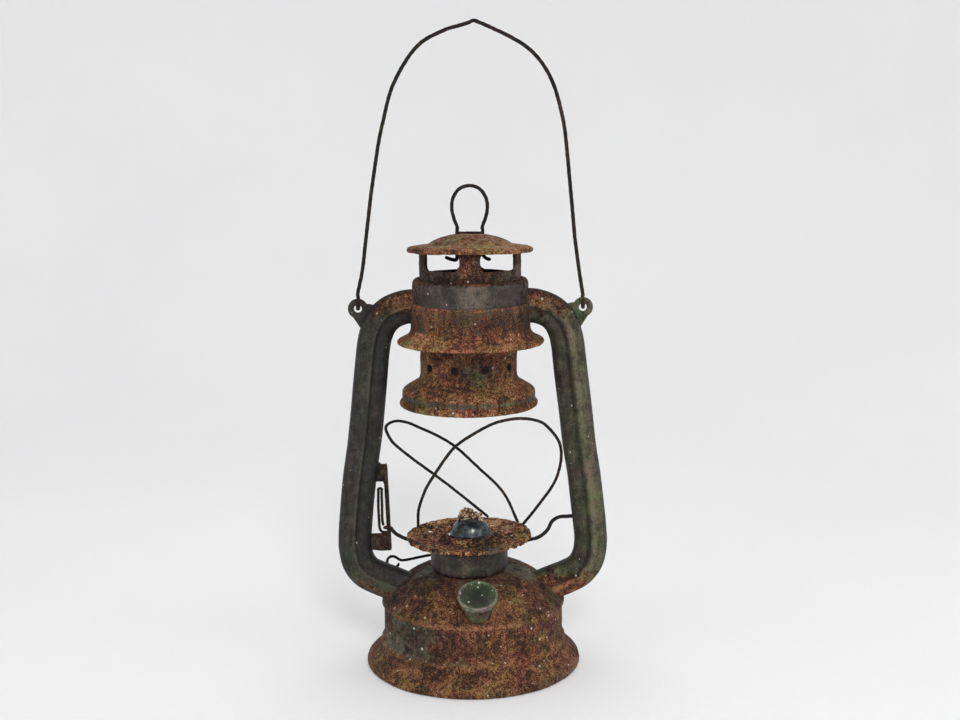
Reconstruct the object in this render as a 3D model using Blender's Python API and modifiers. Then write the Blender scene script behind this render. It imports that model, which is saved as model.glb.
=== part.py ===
"""Barn lantern: a tubular oil lantern with its tank, burner, sliding chimney and bail.

The model stands on its foot at the origin, +Z up, with the filler cap facing -Y.
Lengths below are in millimetres; the helpers turn them into metres.
"""
import math

import bmesh
import bpy
from mathutils import Matrix, Vector

MM = 0.001
GAP = 0.3            # running gap between neighbouring pieces
SHEET = 0.8          # thickness of the formed sheet metal
TURN_STEPS = 28      # facets around a turned piece

# Tank and foot
FOOT_RADIUS = 61.0
WALL_RADIUS = 51.0
WALL_TOP = 36.2
CUP_RADIUS = 22.0
CUP_TOP = 69.0

# Filler: centre of the cap's top face, and its tilt towards the front
FILLER_TOP = Vector((2.8, -49.6, 55.6))
FILLER_TILT = 27.6
FILLER_NECK_RADIUS = 7.3

# Side tubes: centre line in the XZ plane and half sizes of the section
TUBE_HALF_WIDTH = 9.4
TUBE_HALF_DEPTH = 7.5
TUBE_LINE = [(26.0, 206.4), (37.5, 205.5), (44.3, 202.8), (49.3, 198.2), (52.4, 192.0),
             (54.2, 184.5), (56.4, 165.0), (60.4, 130.0), (63.8, 107.0), (66.9, 78.5),
             (67.1, 67.5), (65.0, 59.0), (60.6, 53.0), (54.0, 49.4), (46.7, 46.4), (37.0, 42.2)]
EAR_HOLE = (62.5, 205.0)
EAR_RADIUS = 5.4

# Hood and chimney
BAND_RADIUS = 32.0
SKIRT_RADIUS = 33.4
CROWN_RADIUS = 28.2
NECK_RADIUS = 27.0
NECK_HOLES = 10
NECK_HOLE_Z = 174.0
NECK_HOLE_PHASE = -16.0
CAP_RIM_RADIUS = 34.9
SPRING_RADIUS = 29.9
SPRING_TURNS = 5

# Bail: it turns in the ears about this height
BAIL_PIVOT_Z = 208.4
BAIL_RING = 3.4
BAIL_WIRE = 1.05
BAIL_ARCH = [(-62.2, 214.8), (-59.0, 230.0), (-54.7, 263.0), (-50.0, 292.2), (-46.4, 308.3),
             (-41.6, 325.0), (-33.4, 340.1), (-24.9, 349.5), (-12.8, 355.7), (-4.0, 358.2),
             (0.6, 359.6), (3.2, 360.6), (6.0, 359.6), (10.9, 357.6), (22.4, 352.3), (32.4, 345.9),
             (40.6, 336.8), (47.0, 324.0), (51.4, 307.5), (53.6, 289.0), (55.8, 266.0),
             (58.6, 238.0), (62.0, 215.0)]

# Globe carrier, tilting on the right tube
CARRIER_PIVOT = (57.0, 85.0)
PLATE_RADIUS = 35.5
PLATE_VENTS = 12
CRANK_WIRE = 1.0
CRANK_PLANE = -2.4   # the crank and its link run in front of the bracket

# Wick key: its shaft runs from the ring to the spur wheel
KEY_RING = Vector((-46.4, 11.0, 54.8))
KEY_WHEEL = Vector((0.0, 5.2, 65.3))
KEY_WIRE = 0.8

COLOURS = {
    "rust": ((0.16, 0.065, 0.035), 0.9, 0.2),
    "rusty_hood": ((0.20, 0.09, 0.05), 0.85, 0.2),
    "green_paint": ((0.075, 0.09, 0.075), 0.55, 0.0),
    "cap_paint": ((0.13, 0.17, 0.13), 0.5, 0.0),
    "dark_wire": ((0.03, 0.027, 0.025), 0.55, 0.7),
    "burner_steel": ((0.06, 0.08, 0.1), 0.3, 0.8),
    "brass": ((0.33, 0.24, 0.1), 0.5, 0.9),
    "charred_wick": ((0.36, 0.23, 0.14), 0.95, 0.0),
    "cork": ((0.22, 0.14, 0.08), 0.9, 0.0),
}


def clear_scene():
    """Remove the objects of the open scene."""
    for obj in list(bpy.data.objects):
        bpy.data.objects.remove(obj)


def new_collection(name):
    collection = bpy.data.collections.new(name)
    bpy.context.scene.collection.children.link(collection)
    return collection


clear_scene()
LANTERN = new_collection("barn_lantern")
CUTTERS = new_collection("cutters")


def colour_material(name, slot):
    """A Principled material for one piece, from the colour table."""
    colour, roughness, metallic = COLOURS[slot]
    material = bpy.data.materials.new(name + "_" + slot)
    material.use_nodes = True
    shader = material.node_tree.nodes["Principled BSDF"]
    shader.inputs["Base Color"].default_value = (*colour, 1.0)
    shader.inputs["Roughness"].default_value = roughness
    shader.inputs["Metallic"].default_value = metallic
    return material


def add_piece(name, data, slot):
    """Put a mesh or curve in the lantern's collection under its own name."""
    obj = bpy.data.objects.new(name, data)
    LANTERN.objects.link(obj)
    data.materials.append(colour_material(name, slot))
    return obj


def as_guide(obj):
    """Put an object among the cutters and guides, which are not pieces."""
    CUTTERS.objects.link(obj)
    obj.hide_render = True
    obj.display_type = 'WIRE'
    return obj


def boolean(obj, other, operation='DIFFERENCE'):
    modifier = obj.modifiers.new(operation.lower(), 'BOOLEAN')
    modifier.operation = operation
    modifier.solver = 'EXACT'
    modifier.object = other
    return obj


def cut(obj, *cutters):
    for cutter in cutters:
        boolean(obj, cutter)
    return obj


def profile_mesh(name, points, closed):
    """Edges through (radius, height) points in the XZ plane."""
    mesh = bpy.data.meshes.new(name)
    vertices = [(radius * MM, 0.0, height * MM) for radius, height in points]
    edges = [(i, i + 1) for i in range(len(points) - 1)]
    if closed:
        edges.append((len(points) - 1, 0))
    mesh.from_pydata(vertices, edges, [])
    return mesh


def screw(obj, steps):
    modifier = obj.modifiers.new("turn", 'SCREW')
    modifier.steps = steps
    modifier.render_steps = steps
    modifier.use_merge_vertices = True
    modifier.merge_threshold = 0.00001
    modifier.use_smooth_shade = True
    return obj


def turned_solid(name, slot, points, closed=True, steps=TURN_STEPS):
    """A solid of revolution; its outline runs down the outer side first."""
    return screw(add_piece(name, profile_mesh(name, points, closed), slot), steps)


def turned_sheet(name, slot, points, thickness=SHEET, steps=TURN_STEPS):
    """A turned sheet: the points are its outer side, top to bottom."""
    obj = screw(add_piece(name, profile_mesh(name, points, False), slot), steps)
    thicken = obj.modifiers.new("sheet", 'SOLIDIFY')
    thicken.thickness = thickness * MM
    thicken.offset = -1.0
    thicken.use_even_offset = True
    return obj


def turned_cutter(name, points):
    """A closed turned cutter whose outline starts and ends on the axis."""
    mesh = profile_mesh(name, points, closed=False)
    return screw(as_guide(bpy.data.objects.new(name, mesh)), TURN_STEPS)


def cylinder_mesh(name, radius, depth, matrix, segments=12):
    """A closed cylinder about the matrix's Z axis, centred on its origin."""
    mesh = bpy.data.meshes.new(name)
    body = bmesh.new()
    bmesh.ops.create_cone(body, cap_ends=True, segments=segments, radius1=radius * MM,
                          radius2=radius * MM, depth=depth * MM)
    body.transform(matrix)
    body.to_mesh(mesh)
    body.free()
    mesh.shade_smooth()
    mesh.set_sharp_from_angle(angle=math.radians(40))
    return mesh


def placed(point, direction=(0, 0, 1)):
    """A matrix at a point in millimetres whose Z axis follows the direction."""
    turn = Vector(direction).to_track_quat('Z', 'Y').to_matrix().to_4x4()
    return Matrix.Translation(Vector(point) * MM) @ turn


def cylinder_cutter(name, radius, depth, point, direction, segments=12):
    mesh = cylinder_mesh(name, radius, depth, placed(point, direction), segments)
    return as_guide(bpy.data.objects.new(name, mesh))


def box_mesh(name, size, centre, bevel=0.0):
    mesh = bpy.data.meshes.new(name)
    body = bmesh.new()
    bmesh.ops.create_cube(body, size=1.0)
    body.transform(Matrix.Translation(Vector(centre) * MM) @ Matrix.Diagonal(
        (size[0] * MM, size[1] * MM, size[2] * MM, 1.0)))
    if bevel:
        bmesh.ops.bevel(body, geom=body.edges[:], offset=bevel * MM, segments=2,
                        affect='EDGES', profile=0.5)
    body.to_mesh(mesh)
    body.free()
    return mesh


def box_cutter(name, size, centre):
    return as_guide(bpy.data.objects.new(name, box_mesh(name, size, centre)))


def smooth_path(points, spacing):
    """Points about every spacing along a Catmull-Rom curve through the given ones."""
    knots = [Vector(point) for point in points]
    knots = [2 * knots[0] - knots[1]] + knots + [2 * knots[-1] - knots[-2]]
    path = []
    for before, start, end, after in zip(knots, knots[1:], knots[2:], knots[3:]):
        count = max(1, round((end - start).length / spacing))
        for step in range(count):
            t = step / count
            path.append(0.5 * (2 * start + (end - before) * t
                               + (2 * before - 5 * start + 4 * end - after) * t * t
                               + (3 * start - before - 3 * end + after) * t ** 3))
    path.append(knots[-2])
    return path


def arc(centre, radius, start, end, count, plane="xz"):
    """Points on an arc, in degrees, in the XZ, YZ or XY plane through the centre."""
    centre = Vector(centre)
    axes = {"xz": ((1, 0, 0), (0, 0, 1)), "yz": ((0, 1, 0), (0, 0, 1)),
            "xy": ((1, 0, 0), (0, 1, 0))}
    first, second = (Vector(axis) for axis in axes[plane])
    points = []
    for step in range(count + 1):
        angle = math.radians(start + (end - start) * step / count)
        points.append(centre + radius * (math.cos(angle) * first + math.sin(angle) * second))
    return points


def wire_curve(name, points, radius, resolution=2):
    curve = bpy.data.curves.new(name, 'CURVE')
    curve.dimensions = '3D'
    curve.bevel_depth = radius * MM
    curve.bevel_resolution = resolution
    curve.use_fill_caps = True
    curve.render_resolution_u = 0
    spline = curve.splines.new('POLY')
    spline.points.add(len(points) - 1)
    for target, point in zip(spline.points, points):
        target.co = (*(Vector(point) * MM), 1.0)
    return curve


def wire(name, slot, points, radius, resolution=2):
    """A round wire through the points, with flat ends."""
    return add_piece(name, wire_curve(name, points, radius, resolution), slot)


def outline_curve(name, outlines, thickness):
    """A flat plate from outlines in its own XY plane; later outlines are holes."""
    curve = bpy.data.curves.new(name, 'CURVE')
    curve.dimensions = '2D'
    curve.fill_mode = 'BOTH'
    curve.extrude = thickness * MM / 2
    curve.render_resolution_u = 0
    for outline in outlines:
        spline = curve.splines.new('POLY')
        spline.points.add(len(outline) - 1)
        for target, (x, y) in zip(spline.points, outline):
            target.co = (x * MM, y * MM, 0.0, 1.0)
        spline.use_cyclic_u = True
    return curve


UPRIGHT = Matrix.Rotation(math.radians(90), 4, 'X')


def curve_to_mesh(curve, matrix, name):
    """Turn a curve into a welded mesh that Booleans can use."""
    carrier = bpy.data.objects.new(name, curve)
    bpy.context.scene.collection.objects.link(carrier)
    graph = bpy.context.evaluated_depsgraph_get()
    mesh = bpy.data.meshes.new_from_object(carrier.evaluated_get(graph))
    bpy.data.objects.remove(carrier)
    body = bmesh.new()
    body.from_mesh(mesh)
    bmesh.ops.remove_doubles(body, verts=body.verts, dist=0.000005)
    body.transform(matrix)
    bmesh.ops.recalc_face_normals(body, faces=body.faces)
    body.to_mesh(mesh)
    body.free()
    mesh.materials.clear()
    mesh.name = name
    return mesh


def upright_plate(name, slot, outlines, thickness):
    """A flat plate that stands in the XZ plane, centred on it."""
    mesh = curve_to_mesh(outline_curve(name, outlines, thickness), UPRIGHT, name)
    return add_piece(name, mesh, slot)


def applied(obj):
    """The object's mesh with its modifiers applied."""
    graph = bpy.context.evaluated_depsgraph_get()
    return bpy.data.meshes.new_from_object(obj.evaluated_get(graph))


def mirrored_copy(obj, name, slot):
    """The same piece on the other side of the YZ plane."""
    mesh = applied(obj)
    mesh.materials.clear()
    mesh.transform(Matrix.Scale(-1, 4, (1, 0, 0)))
    mesh.flip_normals()
    return add_piece(name, mesh, slot)


def circle_points(centre, radius, count=12):
    return [(centre[0] + radius * math.cos(math.tau * i / count),
             centre[1] + radius * math.sin(math.tau * i / count)) for i in range(count)]


# ---------------------------------------------------------------- tank

def filler_axis():
    tilt = math.radians(FILLER_TILT)
    return Vector((0.0, -math.sin(tilt), math.cos(tilt)))


def filler_matrix():
    """The filler's own frame: Z along its neck, origin on the cap's top face."""
    return Matrix.Translation(FILLER_TOP * MM) @ Matrix.Rotation(
        math.radians(FILLER_TILT), 4, 'X')


DOME_LINE = [(11.6, 54.6), (22.0, 54.2), (30.0, 53.3), (34.0, 52.0), (38.0, 49.8),
             (42.0, 46.6), (45.5, 43.2), (48.5, 40.2), (51.6, 37.4), (52.1, 36.4), (52.1, 35.2)]


def build_tank():
    """Foot and wall, domed top, bottom pan and the screw filler."""
    rim = FOOT_RADIUS
    turned_solid("tank_skirt", "rust", [
        (WALL_RADIUS, WALL_TOP), (WALL_RADIUS, 17.2), (52.2, 16.0), (53.0, 12.5), (55.4, 8.6),
        (rim - 1.4, 5.4), (rim, 3.6), (rim, 1.2), (rim - 0.9, 0.0), (rim - 2.8, 0.0),
        (rim - 3.4, 2.4), (54.4, 7.0), (51.6, 12.2), (WALL_RADIUS - SHEET, 16.6),
        (WALL_RADIUS - SHEET, WALL_TOP)])
    dome = turned_sheet("tank_dome", "rust", DOME_LINE)
    turned_sheet("tank_bottom", "rust", [(49.9, 21.0), (49.9, 17.2), (47.0, 16.0), (0.0, 16.0)])

    axis = filler_axis()
    hole = cylinder_cutter("filler_hole", FILLER_NECK_RADIUS + 0.4, 30.0,
                           FILLER_TOP - axis * 14.0, axis, 20)
    cut(dome, hole)
    for side in (-1, 1):
        cut(dome, cylinder_cutter("tube_mouth", 6.0, 20.0, (side * 42.5, 0.0, 44.6),
                                  (side * 0.5, 0.0, 0.86)))

    filler = filler_matrix()
    neck = turned_solid("filler_neck", "cap_paint", [
        (FILLER_NECK_RADIUS, -3.8), (FILLER_NECK_RADIUS, -20.0),
        (FILLER_NECK_RADIUS - 1.0, -20.0), (FILLER_NECK_RADIUS - 1.0, -3.8)], steps=24)
    gasket = turned_solid("filler_gasket", "cork", [
        (7.5, -2.7), (7.5, -3.5), (5.0, -3.5), (5.0, -2.7)], steps=16)
    cap = turned_solid("filler_cap", "cap_paint", [
        (0.0, -0.5), (9.4, -0.5), (10.2, 0.0), (10.9, -0.3), (11.0, -1.6), (9.9, -2.6),
        (9.3, -6.4), (7.9, -6.4), (7.9, -2.4), (0.0, -2.4)], closed=False, steps=24)
    for obj in (neck, gasket, cap):
        obj.matrix_world = filler


# ---------------------------------------------------------------- burner

def key_axis():
    return (KEY_WHEEL - KEY_RING).normalized()


def build_air_cup():
    """Painted air chamber on the dome, with the key shaft's hole."""
    cup = turned_sheet("air_cup", "green_paint", [
        (15.2, CUP_TOP), (20.6, CUP_TOP), (CUP_RADIUS, CUP_TOP - 1.6), (CUP_RADIUS, 58.0),
        (22.5, 56.4), (23.8, 55.4)])
    axis = key_axis()
    entry = KEY_RING + axis * ((-21.6 - KEY_RING.x) / axis.x)
    cut(cup, cylinder_cutter("key_hole", 1.6, 8.0, entry, axis))


def build_burner():
    """Screwed collar, burner body, wick tube, wick and its spur wheel."""
    turned_solid("burner_collar", "brass", [(11.2, 58.8), (11.2, 53.4), (9.6, 53.4), (9.6, 58.8)],
                 steps=24)
    body = turned_solid("burner_body", "brass", [
        (0.0, 60.4), (11.8, 60.4), (11.8, 68.2), (12.6, 68.2), (12.6, 60.8), (13.4, 60.0),
        (13.4, 56.6), (11.6, 56.6), (11.6, 59.5), (0.0, 59.5)], closed=False, steps=24)
    axis = key_axis()
    hole_x = -11.2
    basket = KEY_RING + axis * ((hole_x - KEY_RING.x) / axis.x)
    cut(body, box_cutter("wick_tube_slot", (16.0, 4.2, 6.0), (0.0, 0.0, 60.0)),
        cylinder_cutter("shaft_hole", 1.4, 4.0, basket, axis))

    outer = [(-7.6, -1.7), (7.6, -1.7), (7.6, 1.7), (-7.6, 1.7)]
    inner = [(-7.0, -1.2), (7.0, -1.2), (7.0, 1.2), (-7.0, 1.2)]
    tube_bottom, tube_top = 57.0, 80.5
    height = tube_top - tube_bottom
    mesh = curve_to_mesh(outline_curve("wick_tube", [outer, inner], height),
                         Matrix.Translation((0, 0, (tube_bottom + tube_top) / 2 * MM)), "wick_tube")
    tube = add_piece("wick_tube", mesh, "brass")
    cut(tube, box_cutter("wheel_window", (6.4, 2.0, 9.0), (0.0, 1.9, KEY_WHEEL.z)))

    head = [(-6.6, 83.8), (6.2, 83.8), (7.0, 86.2), (5.4, 88.2), (2.2, 88.6), (0.4, 90.4),
            (-2.6, 90.6), (-4.2, 88.8), (-6.8, 88.2), (-7.0, 85.6)]
    strip = [(-6.6, 20.0), (6.6, 20.0), (6.6, 84.6), (-6.6, 84.6)]
    wick = upright_plate("wick", "charred_wick", [strip], 1.8)
    lump_mesh = curve_to_mesh(outline_curve("wick_head", [head], 4.4), UPRIGHT, "wick_head")
    boolean(wick, as_guide(bpy.data.objects.new("wick_head", lump_mesh)), 'UNION')


def build_wick_key():
    """Looped wire key with its shaft, and the toothed wheel that drives the wick."""
    axis = key_axis()
    ring_radius = 3.5
    side = axis.cross(Vector((0, 1, 0))).normalized()
    loop = []
    for step in range(13):
        angle = math.radians(40 + 300 * step / 12)
        loop.append(KEY_RING + ring_radius * (math.cos(angle) * axis + math.sin(angle) * side))
    start = KEY_RING + axis * (ring_radius + 2.6)
    shaft_end = KEY_WHEEL + axis * 3.4
    wire("wick_key", "dark_wire", loop[::-1] + [start, start + axis * 12.0, shaft_end], KEY_WIRE)

    teeth, tip, root = 10, 3.5, 2.6
    outline = []
    for tooth in range(teeth):
        for offset, radius in ((0.0, root), (0.3, tip), (0.6, tip), (0.85, root)):
            angle = math.tau * (tooth + offset) / teeth
            outline.append((radius * math.cos(angle), radius * math.sin(angle)))
    mesh = curve_to_mesh(outline_curve("wick_wheel", [outline, circle_points((0, 0), 1.15)], 2.4),
                         placed(KEY_WHEEL, axis), "wick_wheel")
    add_piece("wick_wheel", mesh, "brass")


# ---------------------------------------------------------------- side tubes

def tube_section(extra=0.0):
    """Rounded rectangular section: x across the tube, y front to back."""
    points = []
    count = 14
    for step in range(count):
        angle = math.tau * (step + 0.5) / count
        across = math.copysign(abs(math.cos(angle)) ** 0.62, math.cos(angle))
        deep = math.copysign(abs(math.sin(angle)) ** 0.72, math.sin(angle))
        points.append(((TUBE_HALF_WIDTH + extra) * across, (TUBE_HALF_DEPTH + extra) * deep))
    return points


def tube_mesh(name, extra=0.0):
    """The open skin of the right-hand tube, swept along its centre line."""
    section = bpy.data.curves.new(name + "_section", 'CURVE')
    section.dimensions = '2D'
    section.render_resolution_u = 0
    spline = section.splines.new('POLY')
    corners = tube_section(extra)
    spline.points.add(len(corners) - 1)
    for target, (x, y) in zip(spline.points, corners):
        target.co = (x * MM, y * MM, 0.0, 1.0)
    spline.use_cyclic_u = True
    section_object = as_guide(bpy.data.objects.new(name + "_section", section))

    path = wire_curve(name, [(x, z, 0.0) for x, z in TUBE_LINE], 0.0)
    path.dimensions = '2D'
    path.fill_mode = 'NONE'
    path.bevel_mode = 'OBJECT'
    path.bevel_object = section_object
    path.use_fill_caps = extra > 0
    return curve_to_mesh(path, UPRIGHT, name)


def hood_envelope():
    """What the tube ends stop at: the hood's two bands with the running gap."""
    return turned_cutter("hood_envelope", [
        (0.0, 230.0), (BAND_RADIUS + GAP, 230.0), (BAND_RADIUS + GAP, 208.8),
        (SKIRT_RADIUS + GAP, 208.8), (SKIRT_RADIUS + GAP, 188.0), (0.0, 188.0)])


def dome_envelope():
    """What the tube ends stop at below: the dome with the running gap."""
    top = [(radius + 0.15, height + 0.35) for radius, height in DOME_LINE[1:-1]]
    return turned_cutter("dome_envelope", [(0.0, top[0][1])] + top + [(52.5, 20.0), (0.0, 20.0)])


def build_tubes():
    """Hollow side tubes, their bail ears and the lift bracket."""
    right = add_piece("right_side_tube", tube_mesh("right_side_tube"), "green_paint")
    thicken = right.modifiers.new("sheet", 'SOLIDIFY')
    thicken.thickness = SHEET * MM
    thicken.offset = -1.0
    cut(right, hood_envelope(), dome_envelope())
    mirrored_copy(right, "left_side_tube", "green_paint")
    cut(right, cylinder_cutter("pivot_hole", 1.7, 12.0, (54.0, 0.0, CARRIER_PIVOT[1]), (1, 0, 0)))

    clearance = as_guide(bpy.data.objects.new("tube_clearance", tube_mesh("tube_clearance", GAP)))
    rounded = [(point.x, point.z) for point in
               arc((EAR_HOLE[0], 0, EAR_HOLE[1]), EAR_RADIUS, -60, 150, 12)]
    ear_outline = rounded + [(52.0, 208.5), (52.0, 192.0), (61.0, 193.5)]
    ear = upright_plate("right_bail_ear", "green_paint",
                        [ear_outline, circle_points(EAR_HOLE, 2.1)], 1.0)
    cut(ear, clearance)
    mirrored_copy(ear, "left_bail_ear", "green_paint")
    return clearance


def build_lift(clearance):
    """Slotted bracket on the left tube, its rivet, and the link that lifts the carrier."""
    outline = [(62.0, 117.0), (47.9, 117.0), (46.2, 65.4), (62.0, 65.4), (62.0, 75.6),
               (48.8, 75.6), (50.0, 106.0), (62.0, 106.0)]
    rivet_centre = (50.9, 111.8)
    bracket = upright_plate("bracket_blank", "rusty_hood",
                            [outline, circle_points(rivet_centre, 1.35)], 1.0)
    cut(bracket, clearance)
    mirrored_copy(bracket, "lift_bracket", "rusty_hood")
    bpy.data.objects.remove(bracket)

    rivet = turned_solid("bracket_rivet", "rust", [
        (0.0, 1.35), (1.9, 1.3), (2.1, 0.85), (1.0, 0.8), (1.0, -0.8), (2.1, -0.85),
        (2.0, -1.6), (0.0, -1.8)], closed=False, steps=12)
    rivet.matrix_world = Matrix.Translation((-rivet_centre[0] * MM, 0, rivet_centre[1] * MM)) @ UPRIGHT

    eye = arc((-51.3, CRANK_PLANE, 101.8), 1.4, 255, -45, 10)
    wire("lift_link", "dark_wire", eye[::-1] + [
        (-52.2, CRANK_PLANE, 97.2), (-52.6, CRANK_PLANE, 88.0), (-52.6, CRANK_PLANE, 80.4),
        (-52.1, CRANK_PLANE, 78.0), (-50.9, CRANK_PLANE, 76.9), (-48.6, CRANK_PLANE, 77.0)], 0.8)


# ---------------------------------------------------------------- globe carrier

def build_carrier():
    """Perforated globe plate, rising cone, cranked wire and the crossed guard wires."""
    plate = turned_sheet("globe_plate", "rust", [
        (13.8, 73.8), (17.2, 73.7), (19.0, 72.7), (29.0, 73.2), (33.6, 74.6), (35.0, 74.6),
        (PLATE_RADIUS, 73.6)])
    vents = []
    for index in range(PLATE_VENTS):
        angle = math.tau * index / PLATE_VENTS
        vents.append(placed((25.0 * math.cos(angle), 25.0 * math.sin(angle), 73.0)))
    cut(plate, drill_group("plate_vents", 1.7, vents))

    cone = turned_sheet("burner_cone", "burner_steel", [
        (0.0, 84.2), (4.5, 83.6), (8.6, 81.6), (11.4, 78.6), (12.5, 75.6), (13.4, 74.9),
        (16.0, 74.8)], thickness=0.6, steps=24)
    cut(cone, box_cutter("flame_slot", (17.4, 6.4, 12.0), (0.0, 0.0, 86.0)))

    pivot_x, pivot_z = CARRIER_PIVOT
    under = 70.6
    right = smooth_path([(pivot_x + 3.2, 0, pivot_z + 0.3), (pivot_x - 2.0, 0, pivot_z - 0.2),
                         (49.6, 0, 84.4), (45.4, 0, 81.8), (42.8, 0, 76.8), (38.0, 0, 72.6),
                         (32.0, 0.2, 71.0)], 3.2)
    rear = arc((0, 0, under), 27.0, 0, 180, 16, plane="xy")
    left = smooth_path([(-32.0, -0.2, 71.0), (-37.5, -0.8, 72.2), (-41.2, -1.6, 74.2),
                        (-44.2, CRANK_PLANE, 76.4), (-46.4, CRANK_PLANE, 79.4),
                        (-48.2, CRANK_PLANE, 79.8), (-50.6, CRANK_PLANE, 79.4)], 3.0)
    wire("carrier_wire", "dark_wire", right + rear + left, CRANK_WIRE)

    guard = 0.85
    rear_loop = [(27.8, 21.0, 75.4), (18.1, 30.0, 91.0), (4.0, 37.0, 104.0), (-9.5, 38.0, 116.6),
                 (-20.0, 34.0, 124.3), (-29.7, 27.0, 130.8), (-37.9, 18.0, 136.4),
                 (-44.5, 9.0, 138.8), (-48.6, 4.0, 136.6), (-46.6, 6.0, 130.0),
                 (-43.0, 12.0, 123.6), (-34.6, 26.0, 112.5), (-22.1, 37.0, 99.9),
                 (-6.8, 40.0, 86.7), (9.4, 32.6, 75.2)]
    front_loop = [(-31.6, 13.4, 75.2), (-30.3, -4.0, 90.2), (-26.2, -22.0, 105.5),
                  (-20.2, -34.0, 118.3), (-14.6, -40.0, 128.1), (-8.6, -43.0, 135.9),
                  (-0.5, -43.0, 141.9), (10.3, -40.0, 147.1), (18.4, -36.4, 148.9),
                  (26.6, -31.0, 148.6), (34.4, -26.0, 146.6), (40.7, -21.0, 142.7),
                  (48.0, -15.5, 132.8), (50.0, -11.6, 123.2), (48.8, -7.0, 112.8),
                  (45.8, -1.0, 103.4), (39.4, 8.0, 90.9), (29.6, 17.0, 75.4)]
    wire("rear_guard_wire", "dark_wire", smooth_path(rear_loop, 6.0), guard)
    wire("front_guard_wire", "dark_wire", smooth_path(front_loop, 6.5), guard)


def drill_group(name, radius, places):
    """Six-sided drills at the given places, joined in one cutter."""
    merged = bmesh.new()
    for place in places:
        merged.from_mesh(cylinder_mesh(name, radius, 8.0, place, 6))
    mesh = bpy.data.meshes.new(name)
    merged.to_mesh(mesh)
    merged.free()
    return as_guide(bpy.data.objects.new(name, mesh))


# ---------------------------------------------------------------- hood and chimney

def build_hood():
    """Fixed hood between the side tubes: upper band, lower band with flare, inner shelf."""
    upper = turned_sheet("hood_upper_band", "green_paint", [
        (28.8, 221.4), (30.4, 221.2), (31.4, 220.0), (31.8, 217.0), (BAND_RADIUS, 210.0),
        (BAND_RADIUS, 204.6)])
    lower = turned_sheet("hood_lower_band", "rusty_hood", [
        (33.2, 208.4), (SKIRT_RADIUS, 207.4), (SKIRT_RADIUS, 193.0), (34.6, 190.6),
        (38.0, 188.4), (40.4, 187.4), (41.0, 186.3)])
    for side in (-1, 1):
        mouth = cylinder_cutter("hood_mouth", 6.2, 10.0, (side * 33.0, 0.0, 201.6), (1, 0, 0))
        cut(lower, mouth)
        cut(upper, mouth)
    turned_solid("hood_shelf", "rusty_hood", [
        (SKIRT_RADIUS - SHEET - GAP, 195.0), (SKIRT_RADIUS - SHEET - GAP, 194.2),
        (NECK_RADIUS + 0.8, 194.2), (NECK_RADIUS + 0.8, 195.0)])


def build_chimney():
    """The sliding part: globe cap, inner tube, crown, top cap, ring and spring."""
    globe_cap = turned_sheet("globe_cap", "rusty_hood", [
        (30.8, 195.6), (27.8, 195.6), (NECK_RADIUS, 194.8), (NECK_RADIUS, 167.4),
        (28.2, 164.6), (36.0, 160.4), (37.3, 158.8), (37.3, 153.6),
        (38.8, 151.4)])
    holes = []
    for index in range(NECK_HOLES):
        angle = math.radians(NECK_HOLE_PHASE - 90.0 + 360.0 / NECK_HOLES * index)
        outward = Vector((math.cos(angle), math.sin(angle), 0.0))
        holes.append(placed(outward * NECK_RADIUS + Vector((0, 0, NECK_HOLE_Z)), outward))
    cut(globe_cap, drill_group("neck_holes", 2.0, holes))

    turned_solid("chimney_tube", "rust", [(25.8, 224.0), (25.8, 188.0), (25.0, 188.0), (25.0, 224.0)],
                 steps=24)
    crown = turned_sheet("vent_crown", "green_paint", [(CROWN_RADIUS, 238.3), (CROWN_RADIUS, 212.0)])
    for index in range(4):
        angle = math.radians(45 + 90 * index)
        window = box_mesh("crown_window", (29.0, 20.0, 11.0), (0, 0, 0), bevel=2.6)
        window.transform(Matrix.Rotation(angle - math.pi / 2, 4, 'Z')
                         @ Matrix.Translation((0, 27.0 * MM, 231.0 * MM)))
        cut(crown, as_guide(bpy.data.objects.new("crown_window", window)))

    rim = CAP_RIM_RADIUS
    cap = turned_solid("top_cap", "rusty_hood", [
        (0.0, 246.1), (7.6, 246.1), (14.7, 244.7), (18.4, 243.4), (21.4, 241.9), (23.0, 240.8),
        (25.0, 240.3), (33.2, 239.2), (rim - 0.3, 238.4), (rim, 237.4), (rim - 0.5, 236.4),
        (rim - 1.5, 236.1), (rim - 2.6, 237.0), (31.0, 238.4), (25.0, 239.2), (22.8, 239.8),
        (20.8, 240.9), (17.8, 242.4), (14.2, 243.6), (0.0, 244.6)], closed=False)
    foot_x = 7.0
    for side in (-1, 1):
        cut(cap, cylinder_cutter("ring_hole", 1.35, 12.0, (side * foot_x, 0, 244.0), (0, 0, 1), 8))

    half = smooth_path([(13.6, 0, 233.2), (10.2, 0, 232.2), (7.6, 0, 232.4), (foot_x, 0, 235.0),
                        (foot_x, 0, 240.0),
                        (foot_x, 0, 247.4), (6.9, 0, 250.2), (8.6, 0, 254.6), (9.8, 0, 260.4),
                        (9.0, 0, 266.0), (5.6, 0, 270.8), (0.0, 0, 272.6)], 2.8)
    left_half = [Vector((-point.x, 0, point.z)) for point in half[-2::-1]]
    wire("lift_ring", "dark_wire", half + left_half, 0.95)

    low, high = 197.6, 218.4
    count = SPRING_TURNS * 13
    coil = []
    for step in range(count + 1):
        angle = math.tau * SPRING_TURNS * step / count
        coil.append((SPRING_RADIUS * math.cos(angle), SPRING_RADIUS * math.sin(angle),
                     low + (high - low) * step / count))
    wire("chimney_spring", "dark_wire", coil, 0.6, resolution=1)


# ---------------------------------------------------------------- bail

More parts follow.
